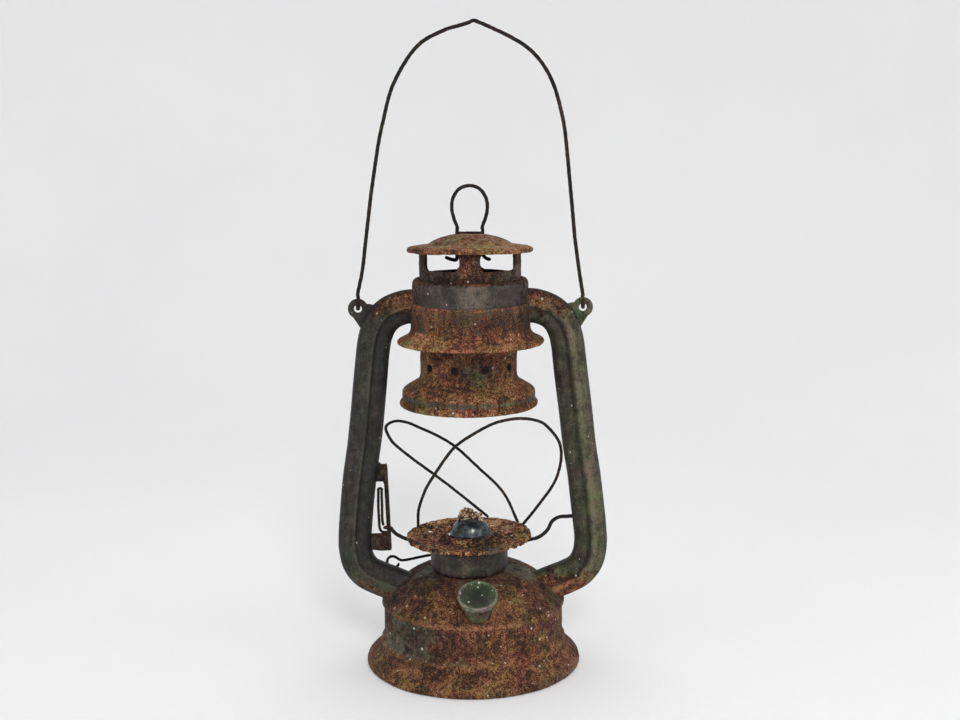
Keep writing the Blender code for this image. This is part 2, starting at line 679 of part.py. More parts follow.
def build_bail():
    """Wire handle, bent a little to the right, with an open loop through each ear."""
    ear_x = EAR_HOLE[0]
    left = arc((-ear_x, 0, BAIL_PIVOT_Z), BAIL_RING, -215, 90, 12, plane="yz")
    right = arc((ear_x, 0, BAIL_PIVOT_Z), BAIL_RING, 90, -215, 12, plane="yz")
    arch = smooth_path([(x, 0, z) for x, z in BAIL_ARCH], 12.0)
    wire("bail", "dark_wire", left + arch + right, BAIL_WIRE)


build_tank()
build_air_cup()
build_burner()
build_wick_key()
tube_clearance = build_tubes()
build_lift(tube_clearance)
build_carrier()
build_hood()
build_chimney()
build_bail()
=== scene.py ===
"""Looks of the rusted barn lantern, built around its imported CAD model.

Lengths are in millimetres in the CAD's own frame, and MM turns them into metres. The
filler cap faces -Y. Every turned sheet, tube and wire is made here again with its rolled
rims, dents and corrosion, and rides on the CAD body that it belongs to.
"""

import math

import bmesh
import bpy
from mathutils import Matrix, Vector, noise


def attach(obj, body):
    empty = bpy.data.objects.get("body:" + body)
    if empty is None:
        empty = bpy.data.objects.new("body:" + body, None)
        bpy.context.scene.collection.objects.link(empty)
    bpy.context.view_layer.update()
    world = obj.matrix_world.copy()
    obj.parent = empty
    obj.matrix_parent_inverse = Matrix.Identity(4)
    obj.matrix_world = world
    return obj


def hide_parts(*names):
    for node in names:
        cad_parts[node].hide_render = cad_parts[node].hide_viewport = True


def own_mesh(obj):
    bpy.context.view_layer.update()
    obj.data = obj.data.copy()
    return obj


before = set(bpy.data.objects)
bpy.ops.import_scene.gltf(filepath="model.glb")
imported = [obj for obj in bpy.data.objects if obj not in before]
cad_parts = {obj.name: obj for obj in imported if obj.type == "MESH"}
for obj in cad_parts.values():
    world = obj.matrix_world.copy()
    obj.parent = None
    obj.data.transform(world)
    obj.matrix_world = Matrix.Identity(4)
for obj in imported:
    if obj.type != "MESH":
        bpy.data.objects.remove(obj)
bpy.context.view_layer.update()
noise.seed_set(5)        # noise_vector starts from the clock without it

MM = 0.001
TURN = 168     # vertices around a turned piece
SPACING = 0.9            # length of a face along an outline
SHEET = 0.8              # thickness of the formed sheet metal
DENT_SIZE = 24.0         # distance between dents
CRUST_SIZE = 2.4         # size of a flake of rust

FILLER_TOP = Vector((2.8, -49.6, 55.6))
FILLER_TILT = math.radians(27.6)
EAR_X, EAR_Z = 62.5, 205.0
BAIL_PIVOT_Z = 208.4
CRANK_PLANE = -2.4
BURNER_SHIFT = -1.9      # the burner sits a little to the left of the tank's middle
PLATE_VENTS = 12
PLATE_LIFT = 0.035       # rise of the bent plate for each length to the right
NECK_RADIUS = 27.0
NECK_HOLES = 10
HOOD_SHIFT = -1.3        # the globe cap hangs a little to the left
WINDOW_TOP = 236.6
CAP_LEAN = 0.05          # rise of the top cap for each length to the front
KEY_RING = Vector((-46.4, 11.0, 54.8))
KEY_WHEEL = Vector((0.0, 5.2, 65.3))


# ---------------------------------------------------------------- camera, light and stage

def add_camera():
    data = bpy.data.cameras.new("camera")
    data.lens = 53.85
    data.sensor_width = 36.0
    camera = bpy.data.objects.new("camera", data)
    bpy.context.scene.collection.objects.link(camera)
    tilt = Matrix.Rotation(math.radians(90.0 - 9.93), 4, 'X')
    roll = Matrix.Rotation(math.radians(-0.45), 4, 'Z')
    camera.matrix_world = Matrix.Translation((0.0051, -0.791, 0.314)) @ tilt @ roll
    bpy.context.scene.camera = camera


def add_area_light(name, place, target, size, power):
    data = bpy.data.lights.new(name, 'AREA')
    data.shape = 'DISK'
    data.size = size
    data.energy = power
    light = bpy.data.objects.new(name, data)
    bpy.context.scene.collection.objects.link(light)
    light.location = place
    direction = Vector(target) - Vector(place)
    light.rotation_euler = direction.to_track_quat('-Z', 'Y').to_euler()
    light.visible_camera = False


def add_stage():
    """A pale floor that rises all round into a wall, so that any view has it behind."""
    floor_radius, wall_radius, wall_top = 600.0, 1800.0, 2600.0
    bend = wall_radius - floor_radius
    line = [(0.0, 0.0), (floor_radius, 0.0)]
    for step in range(1, 13):
        angle = math.radians(90.0 * step / 12)
        line.append((floor_radius + bend * math.sin(angle), bend * (1.0 - math.cos(angle))))
    line.append((wall_radius, wall_top))
    stage = turned("stage", line, closed=False)
    stage.data.flip_normals()
    nodes = Nodes("pale_floor")
    cloth = nodes.noise(900.0, 3, 0.6, 11)
    soft = nodes.noise(3.0, 2, 0.5, 12)
    tone = nodes.total(0.0, (0.5, cloth), (0.5, soft))
    colour = nodes.ramp(tone, [(0.3, 0.84, 0.84, 0.85), (0.7, 0.9, 0.9, 0.9)])
    nodes.shade("Base Color", colour)
    nodes.shade("Roughness", 0.9)
    nodes.shade("Specular IOR Level", 0.1)
    nodes.shade("Emission Color", (1.0, 1.0, 1.0, 1.0))
    nodes.shade("Emission Strength", 0.11)
    nodes.relief(cloth, 0.1, 0.0002)
    stage.data.materials.append(nodes.material)


def add_lights():
    world = bpy.data.worlds.new("studio")
    bpy.context.scene.world = world
    world.use_nodes = True
    background = world.node_tree.nodes["Background"]
    background.inputs["Color"].default_value = (1.0, 1.0, 1.0, 1.0)
    background.inputs["Strength"].default_value = 0.2
    middle = (0.0, 0.0, 0.17)
    add_area_light("key", (0.2, -1.3, 0.95), middle, 0.45, 9.0)
    add_area_light("left_fill", (-1.3, -0.7, 0.6), middle, 0.7, 1.3)
    add_area_light("right_fill", (1.3, -0.5, 0.7), middle, 0.7, 1.8)
    add_area_light("top", (0.0, 0.4, 1.7), middle, 1.2, 5.5)


# ---------------------------------------------------------------- materials

class Nodes:
    """One Principled material and short ways to add its nodes."""

    def __init__(self, name):
        self.material = bpy.data.materials.new(name)
        self.material.use_nodes = True
        self.tree = self.material.node_tree
        self.shader = self.tree.nodes["Principled BSDF"]
        self.place = self.add("ShaderNodeTexCoord").outputs["Object"]

    def add(self, kind, **settings):
        node = self.tree.nodes.new(kind)
        for key, value in settings.items():
            setattr(node, key, value)
        return node

    def link(self, source, target):
        self.tree.links.new(source, target)

    def shade(self, name, value):
        """Set one input of the Principled shader to a constant or to a socket."""
        if isinstance(value, bpy.types.NodeSocket):
            self.link(value, self.shader.inputs[name])
        else:
            self.shader.inputs[name].default_value = value

    def spot(self, seed, stretch=(1.0, 1.0, 1.0)):
        """Object coordinates moved by the seed, so that no two patterns agree."""
        mapping = self.add("ShaderNodeMapping")
        mapping.inputs["Location"].default_value = (0.137 * seed, 0.291 * seed, 0.073 * seed)
        mapping.inputs["Scale"].default_value = stretch
        self.link(self.place, mapping.inputs["Vector"])
        return mapping.outputs["Vector"]

    def noise(self, scale, detail, roughness, seed, stretch=(1.0, 1.0, 1.0), twist=0.0):
        node = self.add("ShaderNodeTexNoise")
        node.inputs["Scale"].default_value = scale
        node.inputs["Detail"].default_value = detail
        node.inputs["Roughness"].default_value = roughness
        node.inputs["Distortion"].default_value = twist
        self.link(self.spot(seed, stretch), node.inputs["Vector"])
        return node.outputs["Fac"]

    def dots(self, scale, size, share, seed):
        """1 inside scattered dots: size is a part of a cell, and share is the part with dots."""
        cells = self.add("ShaderNodeTexVoronoi")
        cells.inputs["Scale"].default_value = scale
        self.link(self.spot(seed), cells.inputs["Vector"])
        split = self.add("ShaderNodeSeparateColor")
        self.link(cells.outputs["Color"], split.inputs["Color"])
        reach = self.total(0.35 * size, (size, split.outputs["Green"]))
        near = self.math('LESS_THAN', cells.outputs["Distance"], reach)
        used = self.math('LESS_THAN', split.outputs["Red"], share)
        return self.math('MULTIPLY', near, used)

    def attribute(self, name):
        return self.add("ShaderNodeAttribute", attribute_name=name).outputs["Fac"]

    def math(self, operation, *values, clamp=False):
        node = self.add("ShaderNodeMath", operation=operation, use_clamp=clamp)
        for target, value in zip(node.inputs, values):
            if isinstance(value, (int, float)):
                target.default_value = value
            else:
                self.link(value, target)
        return node.outputs[0]

    def total(self, start, *terms, clamp=False):
        """start plus each (weight, socket)."""
        result = start
        for weight, socket in terms:
            result = self.math('MULTIPLY_ADD', socket, weight, result, clamp=clamp)
        return result

    def step(self, value, low, high):
        """0 below low, 1 above high, smooth between them."""
        node = self.add("ShaderNodeMapRange", interpolation_type='SMOOTHSTEP')
        node.inputs["From Min"].default_value = low
        node.inputs["From Max"].default_value = high
        self.link(value, node.inputs["Value"])
        return node.outputs["Result"]

    def ramp(self, factor, stops):
        """A colour ramp; each stop is a position with red, green and blue."""
        node = self.add("ShaderNodeValToRGB")
        elements = node.color_ramp.elements
        while len(elements) < len(stops):
            elements.new(0.5)
        for element, (position, *colour) in zip(elements, stops):
            element.position = position
            element.color = (*colour, 1.0)
        self.link(factor, node.inputs["Fac"])
        return node.outputs["Color"]

    def mix(self, factor, first, second, blend='MIX'):
        node = self.add("ShaderNodeMix", data_type='RGBA', blend_type=blend)
        for name, value in (("Factor_Float", factor), ("A_Color", first), ("B_Color", second)):
            target = next(entry for entry in node.inputs if entry.identifier == name)
            if isinstance(value, (int, float)):
                target.default_value = value
            elif isinstance(value, tuple):
                target.default_value = (*value, 1.0)
            else:
                self.link(value, target)
        return next(entry for entry in node.outputs if entry.identifier == "Result_Color")

    def relief(self, height, strength, distance):
        bump = self.add("ShaderNodeBump")
        bump.inputs["Strength"].default_value = strength
        bump.inputs["Distance"].default_value = distance
        self.link(height, bump.inputs["Height"])
        self.shade("Normal", bump.outputs["Normal"])


BROWN_RUST = [(0.08, 0.0068, 0.0039, 0.003), (0.3, 0.021, 0.0094, 0.0062),
              (0.47, 0.0505, 0.0205, 0.0117), (0.6, 0.0935, 0.037, 0.0182),
              (0.78, 0.174, 0.0768, 0.0342), (0.97, 0.2905, 0.1624, 0.0868)]
ORANGE_RUST = [(0.05, 0.0135, 0.0068, 0.0048), (0.26, 0.0465, 0.0195, 0.011),
               (0.44, 0.1013, 0.0413, 0.0207), (0.6, 0.18, 0.0735, 0.0317),
               (0.78, 0.3, 0.1425, 0.0621), (0.97, 0.435, 0.285, 0.1656)]
PLATE_RUST = [(0.12, 0.0056, 0.0034, 0.0031), (0.34, 0.0225, 0.0101, 0.0069),
              (0.5, 0.0684, 0.0269, 0.0139), (0.63, 0.161, 0.0605, 0.0246),
              (0.8, 0.322, 0.1428, 0.0578), (0.97, 0.4669, 0.3192, 0.1848)]
GREY_GREEN = [(0.1, 0.0058, 0.0063, 0.0056), (0.4, 0.0165, 0.0179, 0.015),
              (0.62, 0.03, 0.033, 0.0264), (0.9, 0.058, 0.0625, 0.0471)]
BLUE_GREY = [(0.1, 0.0152, 0.0121, 0.0108), (0.4, 0.0414, 0.0353, 0.032),
             (0.62, 0.0725, 0.0635, 0.0578), (0.9, 0.1311, 0.1104, 0.098)]
OLIVE = [(0.1, 0.0157, 0.0151, 0.0092), (0.4, 0.0392, 0.0408, 0.0252),
         (0.62, 0.0721, 0.0756, 0.0437), (0.9, 0.1333, 0.1361, 0.084)]
CAP_GREEN = [(0.1, 0.021, 0.027, 0.0216), (0.4, 0.045, 0.057, 0.0432),
             (0.62, 0.072, 0.09, 0.066), (0.9, 0.18, 0.192, 0.15)]
CAP_TAN = [(0.1, 0.02, 0.018, 0.009), (0.4, 0.075, 0.065, 0.032),
           (0.62, 0.15, 0.13, 0.065), (0.9, 0.3, 0.27, 0.16)]
BLACK_WIRE = [(0.1, 0.0036, 0.003, 0.003), (0.5, 0.0084, 0.0072, 0.0066),
              (0.7, 0.018, 0.012, 0.009), (0.95, 0.051, 0.0288, 0.018)]
DARK_RUST = [(0.08, 0.005, 0.0032, 0.003), (0.35, 0.014, 0.008, 0.006),
             (0.6, 0.04, 0.021, 0.014), (0.95, 0.12, 0.07, 0.045)]
CREAM = (0.62, 0.60, 0.52)


def aged_metal(name, rust, paint, seed, gloss=0.55, specks=0.05, contrast=1.0, relief=1.0):
    """Rust over old paint: the 'paint' value on the mesh says where paint is left, and the second
    value makes it brighter or darker, for worn edges and for painted highlight and shade.
    """
    nodes = Nodes(name)
    wear_and_painted_light, coat = nodes.attribute("wear_and_painted_light"), nodes.attribute("paint")
    clouds = nodes.noise(26.0, 3, 0.55, seed + 1)
    patches = nodes.noise(75.0, 5, 0.62, seed)
    mottle = nodes.noise(400.0, 8, 0.72, seed + 3, twist=0.3)
    streaks = nodes.noise(420.0, 6, 0.65, seed + 5, stretch=(1.0, 1.0, 0.25))
    grain = nodes.noise(1400.0, 4, 0.66, seed + 7)
    weights = [0.9, 1.2 * contrast, 2.1 * contrast, 0.9 * contrast, 2.6]
    terms = list(zip(weights, (clouds, patches, mottle, streaks, grain)))
    # the second vertex value lifts or lowers the tone: worn edges, and painted highlight and
    # painted shade on some pieces
    tone = nodes.total(0.47 - 0.5 * sum(weights), *terms, (0.3, wear_and_painted_light))
    rust_colour = nodes.ramp(tone, rust)

    film = nodes.noise(150.0, 7, 0.66, seed + 9)
    film_tone = nodes.total(-2.2, (1.5, film), (1.0, streaks), (1.5, grain), (0.7, mottle),
                            (0.7, clouds), (0.4, wear_and_painted_light))
    paint_colour = nodes.ramp(film_tone, paint)
    edge = nodes.total(-1.25, (1.0, coat), (1.1, patches), (1.4, mottle))
    cover = nodes.step(edge, 0.32, 0.68)
    colour = nodes.mix(cover, rust_colour, paint_colour)
    tint = nodes.ramp(nodes.noise(70.0, 4, 0.6, seed + 17), [
        (0.36, 1.2, 0.8, 0.95), (0.48, 1.06, 0.93, 0.82), (0.58, 1.0, 0.98, 0.72),
        (0.68, 0.74, 1.02, 0.6)])
    colour = nodes.mix(1.0, colour, tint, 'MULTIPLY')

    pits = nodes.dots(520.0, 0.24, 0.3, seed + 11)
    colour = nodes.mix(nodes.math('MULTIPLY', pits, 0.8), colour, (0.006, 0.005, 0.004))
    flecks = nodes.dots(190.0, 0.12, specks, seed + 13)
    chips = nodes.dots(420.0, 0.22, specks * 1.3, seed + 15)
    bright = nodes.math('MULTIPLY', nodes.math('MAXIMUM', flecks, chips),
                        nodes.step(patches, 0.46, 0.5))
    colour = nodes.mix(nodes.math('MULTIPLY', bright, 0.9), colour, CREAM)
    nodes.shade("Base Color", colour)

    nodes.shade("Specular IOR Level", 0.35)
    rough_rust = 0.9
    rough = nodes.total(rough_rust - 0.15, (gloss - rough_rust, cover), (0.3, grain), clamp=True)
    nodes.shade("Roughness", rough)
    height = nodes.total(0.0, (1.0, mottle), (0.6, grain), (0.2, cover), (-0.4, pits),
                         (0.5, bright))
    nodes.relief(height, relief, 0.0008)
    return nodes.material


def burner_metal():
    """Blued steel of the burner cone, still smooth, with grey-green bloom and a few rust spots."""
    nodes = Nodes("blued_cone")
    clouds = nodes.noise(230.0, 6, 0.6, 41)
    grain = nodes.noise(1400.0, 4, 0.6, 43)
    tone = nodes.total(-0.6, (1.7, clouds), (0.5, grain))
    steel = nodes.ramp(tone, [(0.25, 0.009, 0.013, 0.016), (0.5, 0.033, 0.047, 0.054),
                              (0.7, 0.09, 0.11, 0.105), (0.88, 0.24, 0.25, 0.2)])
    spots = nodes.step(nodes.noise(420.0, 5, 0.7, 47), 0.6, 0.68)
    colour = nodes.mix(spots, steel, (0.11, 0.055, 0.03))
    nodes.shade("Base Color", colour)
    nodes.shade("Metallic", 0.55)
    rough = nodes.total(0.2, (0.45, spots), (0.18, grain))
    nodes.shade("Roughness", rough)
    nodes.relief(nodes.total(0.0, (0.5, grain), (0.6, clouds)), 0.35, 0.0003)
    return nodes.material


def wick_ash():
    nodes = Nodes("charred_wick")
    lumps = nodes.noise(420.0, 7, 0.7, 51)
    grain = nodes.noise(1900.0, 4, 0.65, 53)
    tone = nodes.total(-0.95, (2.2, lumps), (0.7, grain))
    colour = nodes.ramp(tone, [(0.26, 0.012, 0.006, 0.004), (0.42, 0.085, 0.036, 0.02),
                               (0.55, 0.26, 0.14, 0.075), (0.68, 0.62, 0.53, 0.38)])
    nodes.shade("Base Color", colour)
    nodes.shade("Roughness", 0.95)
    nodes.relief(nodes.total(0.0, (1.0, lumps), (0.6, grain)), 0.9, 0.0006)
    return nodes.material


def plain_metal(name, colours, seed, metallic, roughness):
    """Tarnished metal or cork of the hidden pieces."""
    nodes = Nodes(name)
    clouds = nodes.noise(260.0, 6, 0.62, seed)
    grain = nodes.noise(1500.0, 4, 0.6, seed + 2)
    tone = nodes.total(-0.8, (1.8, clouds), (0.8, grain))
    nodes.shade("Base Color", nodes.ramp(tone, colours))
    nodes.shade("Metallic", metallic)
    nodes.shade("Roughness", nodes.total(roughness - 0.15, (0.3, grain)))
    nodes.relief(nodes.total(0.0, (0.7, clouds), (0.5, grain)), 0.5, 0.0003)
    return nodes.material


# ---------------------------------------------------------------- outlines and meshes

def rounded_line(points, radius=0.7, closed=False):
    """The outline with its corners turned into small curves and its runs split up."""
    corners = [Vector(point) for point in points]
    count = len(corners)
    line = []
    for index, corner in enumerate(corners):
        if not closed and index in (0, count - 1):
            line.append(corner)
            continue
        before, after = corners[index - 1] - corner, corners[(index + 1) % count] - corner
        start = corner + before.normalized() * min(radius, before.length * 0.45)
        end = corner + after.normalized() * min(radius, after.length * 0.45)
        for t in (0.0, 0.33, 0.67, 1.0):
            line.append(start * (1 - t) ** 2 + corner * (2 * t * (1 - t)) + end * t ** 2)
    return split_runs(line, closed)


def split_runs(line, closed=False):
    """The line with every run cut into pieces of about SPACING."""
    result = []
    following = line[1:] + line[:1] if closed else line[1:]
    for start, end in zip(line, following):
        pieces = max(1, round((end - start).length / SPACING))
        result += [start.lerp(end, step / pieces) for step in range(pieces)]
    return result if closed else result + [line[-1]]


def sheet_outline(points, thickness=SHEET, radius=0.7):
    """Closed outline of a formed sheet, from its outer side, top to bottom."""
    outer = rounded_line(points, radius)
    last = len(outer) - 1
    alongs = [(outer[min(index + 1, last)] - outer[max(index - 1, 0)]).normalized()
              for index in range(last + 1)]
    inner = [point + Vector((along.y, -along.x)) * thickness
             for point, along in zip(outer, alongs)]
    lower_rim = (outer[last] + inner[last] + alongs[last] * thickness) / 2
    upper_rim = (outer[0] + inner[0] - alongs[0] * thickness) / 2
    line = outer + [lower_rim] + inner[::-1]
    if outer[0].x < 0.01:
        line[-1].x = 0.0
        return line, False
    return line + [upper_rim], True


def new_object(name, body):
    """A smooth-shaded object from a bmesh, linked to the scene."""
    mesh = bpy.data.meshes.new(name)
    bmesh.ops.recalc_face_normals(body, faces=body.faces)
    body.to_mesh(mesh)
    body.free()
    mesh.shade_smooth()
    obj = bpy.data.objects.new(name, mesh)
    bpy.context.scene.collection.objects.link(obj)
    return obj


def turned(name, outline, closed=True, turn=TURN, shift=None):
    """A solid of revolution; shift(angle, point) may move an outline point."""
    body = bmesh.new()
    rings = []
    for point in outline:
        radius, height = point[0], point[1]
        if radius < 0.01:
            rings.append([body.verts.new((0.0, 0.0, height * MM))])
            continue
        ring = []
        for index in range(turn):
            angle = math.tau * index / turn
            r, z = shift(angle, radius, height) if shift else (radius, height)
            x, y = r * math.cos(angle) * MM, r * math.sin(angle) * MM
            ring.append(body.verts.new((x, y, z * MM)))
        rings.append(ring)
    following = rings[1:] + rings[:1] if closed else rings[1:]
    for upper, lower in zip(rings, following):
        for index in range(turn):
            after = (index + 1) % turn
            if len(upper) > 1 and len(lower) > 1:
                body.faces.new((upper[index], lower[index], lower[after], upper[after]))
            elif len(lower) > 1:
                body.faces.new((upper[0], lower[index], lower[after]))
            elif len(upper) > 1:
                body.faces.new((upper[index], lower[0], upper[after]))
    return new_object(name, body)


def turned_sheet(name, points, thickness=SHEET, radius=0.7, turn=TURN, shift=None):
    outline, closed = sheet_outline(points, thickness, radius)
    return turned(name, outline, closed, turn, shift)


def smooth_path(points, spacing):
    """Points about every spacing along a Catmull-Rom curve through the given ones."""
    knots = [Vector(point) for point in points]
    knots = [2 * knots[0] - knots[1]] + knots + [2 * knots[-1] - knots[-2]]
    path = []
    for before, start, end, after in zip(knots, knots[1:], knots[2:], knots[3:]):
        count = max(1, round((end - start).length / spacing))
        for step in range(count):
            t = step / count
            path.append(0.5 * (2 * start + (end - before) * t
                               + (2 * before - 5 * start + 4 * end - after) * t * t
                               + (3 * start - before - 3 * end + after) * t ** 3))
    path.append(knots[-2])
    return path


def arc(centre, radius, start, end, count, plane):
    """Points on an arc, in degrees, in the plane of the two given axes."""
    first, second = (Vector(axis) for axis in plane)
    angles = [math.radians(start + (end - start) * step / count) for step in range(count + 1)]
    return [Vector(centre) + radius * (math.cos(angle) * first + math.sin(angle) * second)
            for angle in angles]


X_AXIS, Y_AXIS, Z_AXIS = (1, 0, 0), (0, 1, 0), (0, 0, 1)


def skin(name, rings, capped=True):
    """A tube through rings of points in millimetres."""
    body = bmesh.new()
    loops = [[body.verts.new(point * MM) for point in ring] for ring in rings]
    sides = len(loops[0])
    for first, second in zip(loops, loops[1:]):
        for index in range(sides):
            after = (index + 1) % sides
            body.faces.new((first[index], first[after], second[after], second[index]))
    if capped:
        body.faces.new(loops[0][::-1])
        body.faces.new(loops[-1])
    return new_object(name, body)


def wire(name, points, radius, spacing=0.8, sides=14, kink=0.16):
    """A round wire with rounded ends, slightly bent and pitted."""
    path = smooth_path(points, spacing)
    last = len(path) - 1
    rings = []
    side = None
    for index, point in enumerate(path):
        along = (path[min(index + 1, last)] - path[max(index - 1, 0)]).normalized()
        if side is None:
            side = along.orthogonal()
        side = (side - along * side.dot(along)).normalized()
        deep = along.cross(side)
        end_distance = min(index, last - index) * spacing
        shrink = math.sqrt(min(1.0, (end_distance + 0.25 * radius) / radius))
        centre = point + noise.noise_vector(point / 17.0) * kink
        ring = []
        for step in range(sides):
            angle = math.tau * step / sides
            out = side * math.cos(angle) + deep * math.sin(angle)
            crust = 1.0 + 0.16 * noise.noise((point + out * radius) / 1.3)
            ring.append(centre + out * radius * shrink * crust)
        rings.append(ring)
    return skin(name, rings)


def box_mesh(body, height, size):
    """A box on the lantern's axis, in millimetres."""
    made = bmesh.ops.create_cube(body, size=1.0)
    matrix = Matrix.Diagonal((*(length * MM for length in size), 1.0))
    matrix.translation.z = height * MM
    bmesh.ops.transform(body, matrix=matrix, verts=made["verts"])


def applied(obj):
    """Put the object's modifiers into its mesh."""
    graph = bpy.context.evaluated_depsgraph_get()
    mesh = bpy.data.meshes.new_from_object(obj.evaluated_get(graph))
    obj.modifiers.clear()
    obj.data = mesh
    return obj


def drilled(obj, holes):
    """Cut round holes, each given as radius, depth, place, direction and sides."""
    body = bmesh.new()
    for radius, depth, point, direction, sides in holes:
        made = bmesh.ops.create_cone(body, cap_ends=True, segments=sides, radius1=radius * MM,
                                     radius2=radius * MM, depth=depth * MM)
        turn = Vector(direction).to_track_quat('Z', 'Y').to_matrix().to_4x4()
        matrix = Matrix.Translation(Vector(point) * MM) @ turn
        bmesh.ops.transform(body, matrix=matrix, verts=made["verts"])
    return cut(obj, body)


def cut(obj, body):
    """Take the bmesh's closed shapes out of the object."""
    cutter = new_object("cutter", body)
    modifier = obj.modifiers.new("cut", 'BOOLEAN')
    modifier.solver = 'EXACT'
    modifier.object = cutter
    applied(obj)
    bpy.data.objects.remove(cutter)
    obj.data.shade_smooth()
    obj.data.set_sharp_from_angle(angle=math.radians(48))
    return obj


def plate(name, outlines, thickness, bevel=0.2):
    """A flat plate with rounded edges standing in the XZ plane; later outlines are holes."""
    curve = bpy.data.curves.new(name, 'CURVE')
    curve.dimensions = '2D'
    curve.fill_mode = 'BOTH'
    curve.extrude = (thickness / 2 - bevel) * MM
    curve.bevel_depth = bevel * MM
    curve.bevel_resolution = 2
    curve.offset = -bevel * MM
    for outline in outlines:
        spline = curve.splines.new('POLY')
        spline.points.add(len(outline) - 1)
        for target, point in zip(spline.points, outline):
            target.co = (point[0] * MM, point[1] * MM, 0.0, 1.0)
        spline.use_cyclic_u = True
    holder = bpy.data.objects.new(name, curve)
    bpy.context.scene.collection.objects.link(holder)
    graph = bpy.context.evaluated_depsgraph_get()
    mesh = bpy.data.meshes.new_from_object(holder.evaluated_get(graph))
    bpy.data.objects.remove(holder)
    body = bmesh.new()
    body.from_mesh(mesh)
    bmesh.ops.remove_doubles(body, verts=body.verts, dist=0.000004)
    body.transform(Matrix.Rotation(math.pi / 2, 4, 'X'))
    obj = new_object(name, body)
    obj.data.set_sharp_from_angle(angle=math.radians(48))
    return obj


def circle(centre, radius, count=36):
    return [(centre[0] + radius * math.cos(math.tau * i / count),
             centre[1] + radius * math.sin(math.tau * i / count)) for i in range(count)]


# ---------------------------------------------------------------- weather and tones

def front_angle(point):
    """Degrees round the lantern from the front, positive to the right."""
    return math.degrees(math.atan2(point.x, -point.y))


def bump_at(value, centre, width):
    """1 at the centre, falling smoothly to 0 one width away."""
    return max(0.0, 1.0 - ((value - centre) / width) ** 2) ** 2


def facing(point, angle, width):
    """bump_at for the direction round the lantern, in degrees."""
    return bump_at(front_angle(point), angle, width)


def beside(point, angle, width):
    """facing for both sides alike."""
    return bump_at(abs(front_angle(point)), angle, width)


def ring_at(point, radius, width):
    """bump_at for the distance from the lantern's axis."""
    return bump_at(point.xy.length, radius, width)


def weather(obj, dent=0.25, crust=0.12, ridge=None):
    """Dents bend the sheet, crust roughens its faces; ridge(point) raises a seam."""
    mesh = obj.data
    normals = [vertex.normal.copy() for vertex in mesh.vertices]
    for vertex, normal in zip(mesh.vertices, normals):
        point = vertex.co / MM
        push = noise.noise_vector(point / DENT_SIZE) * dent
        flakes = noise.fractal(point / CRUST_SIZE, 0.8, 2.1, 3)
        scale = noise.noise(point / 9.0)
        push += normal * crust * (flakes + 0.6 * max(0.0, scale))
        if ridge:
            push += normal * ridge(point)
        vertex.co += push * MM
    mesh.update()
    return obj


def tone(obj, paint=0.0, wear_and_painted_light=0.0):
    """Write the two vertex values that the aged metal reads; each is a number or a function."""
    mesh = obj.data
    for name, rule in (("paint", paint), ("wear_and_painted_light", wear_and_painted_light)):
        if name in mesh.attributes:
            mesh.attributes.remove(mesh.attributes[name])
        values = mesh.attributes.new(name, 'FLOAT', 'POINT')
        for vertex, value in zip(mesh.vertices, values.data):
            value.value = rule(vertex.co / MM) if callable(rule) else rule
    return obj


def shade_and_soot_inside(obj, bottom):
    """Blacken the faces that look at the axis, from the bottom up, as painted shade and soot
    inside; it comes after tone.
    """
    mesh = obj.data
    for vertex in mesh.vertices:
        point, normal = vertex.co, vertex.normal
        if point.z > bottom * MM and normal.xy.dot(point.xy) < -0.2 * point.xy.length:
            mesh.attributes["wear_and_painted_light"].data[vertex.index].value = -4.0
            mesh.attributes["paint"].data[vertex.index].value = 0.0


def moved(obj, matrix):
    """Transform the mesh itself."""
    obj.data.transform(matrix)
    obj.data.update()


def slid(obj, distance):
    """Move the mesh along X."""
    moved(obj, Matrix.Translation((distance * MM, 0.0, 0.0)))


def leaned(obj):
    """Raise the front and lower the rear of what is above the crown's sills."""
    for vertex in obj.data.vertices:
        share = max(0.0, min(1.0, (vertex.co.z - 0.226) / 0.010))
        vertex.co.z -= CAP_LEAN * share * vertex.co.y


def finish_piece(obj, body, node, material):
    """Give a piece its material and its body, and hide the CAD node it stands for."""
    obj.data.materials.clear()
    obj.data.materials.append(material)
    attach(obj, body)
    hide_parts(node)
    return obj


# ---------------------------------------------------------------- tank

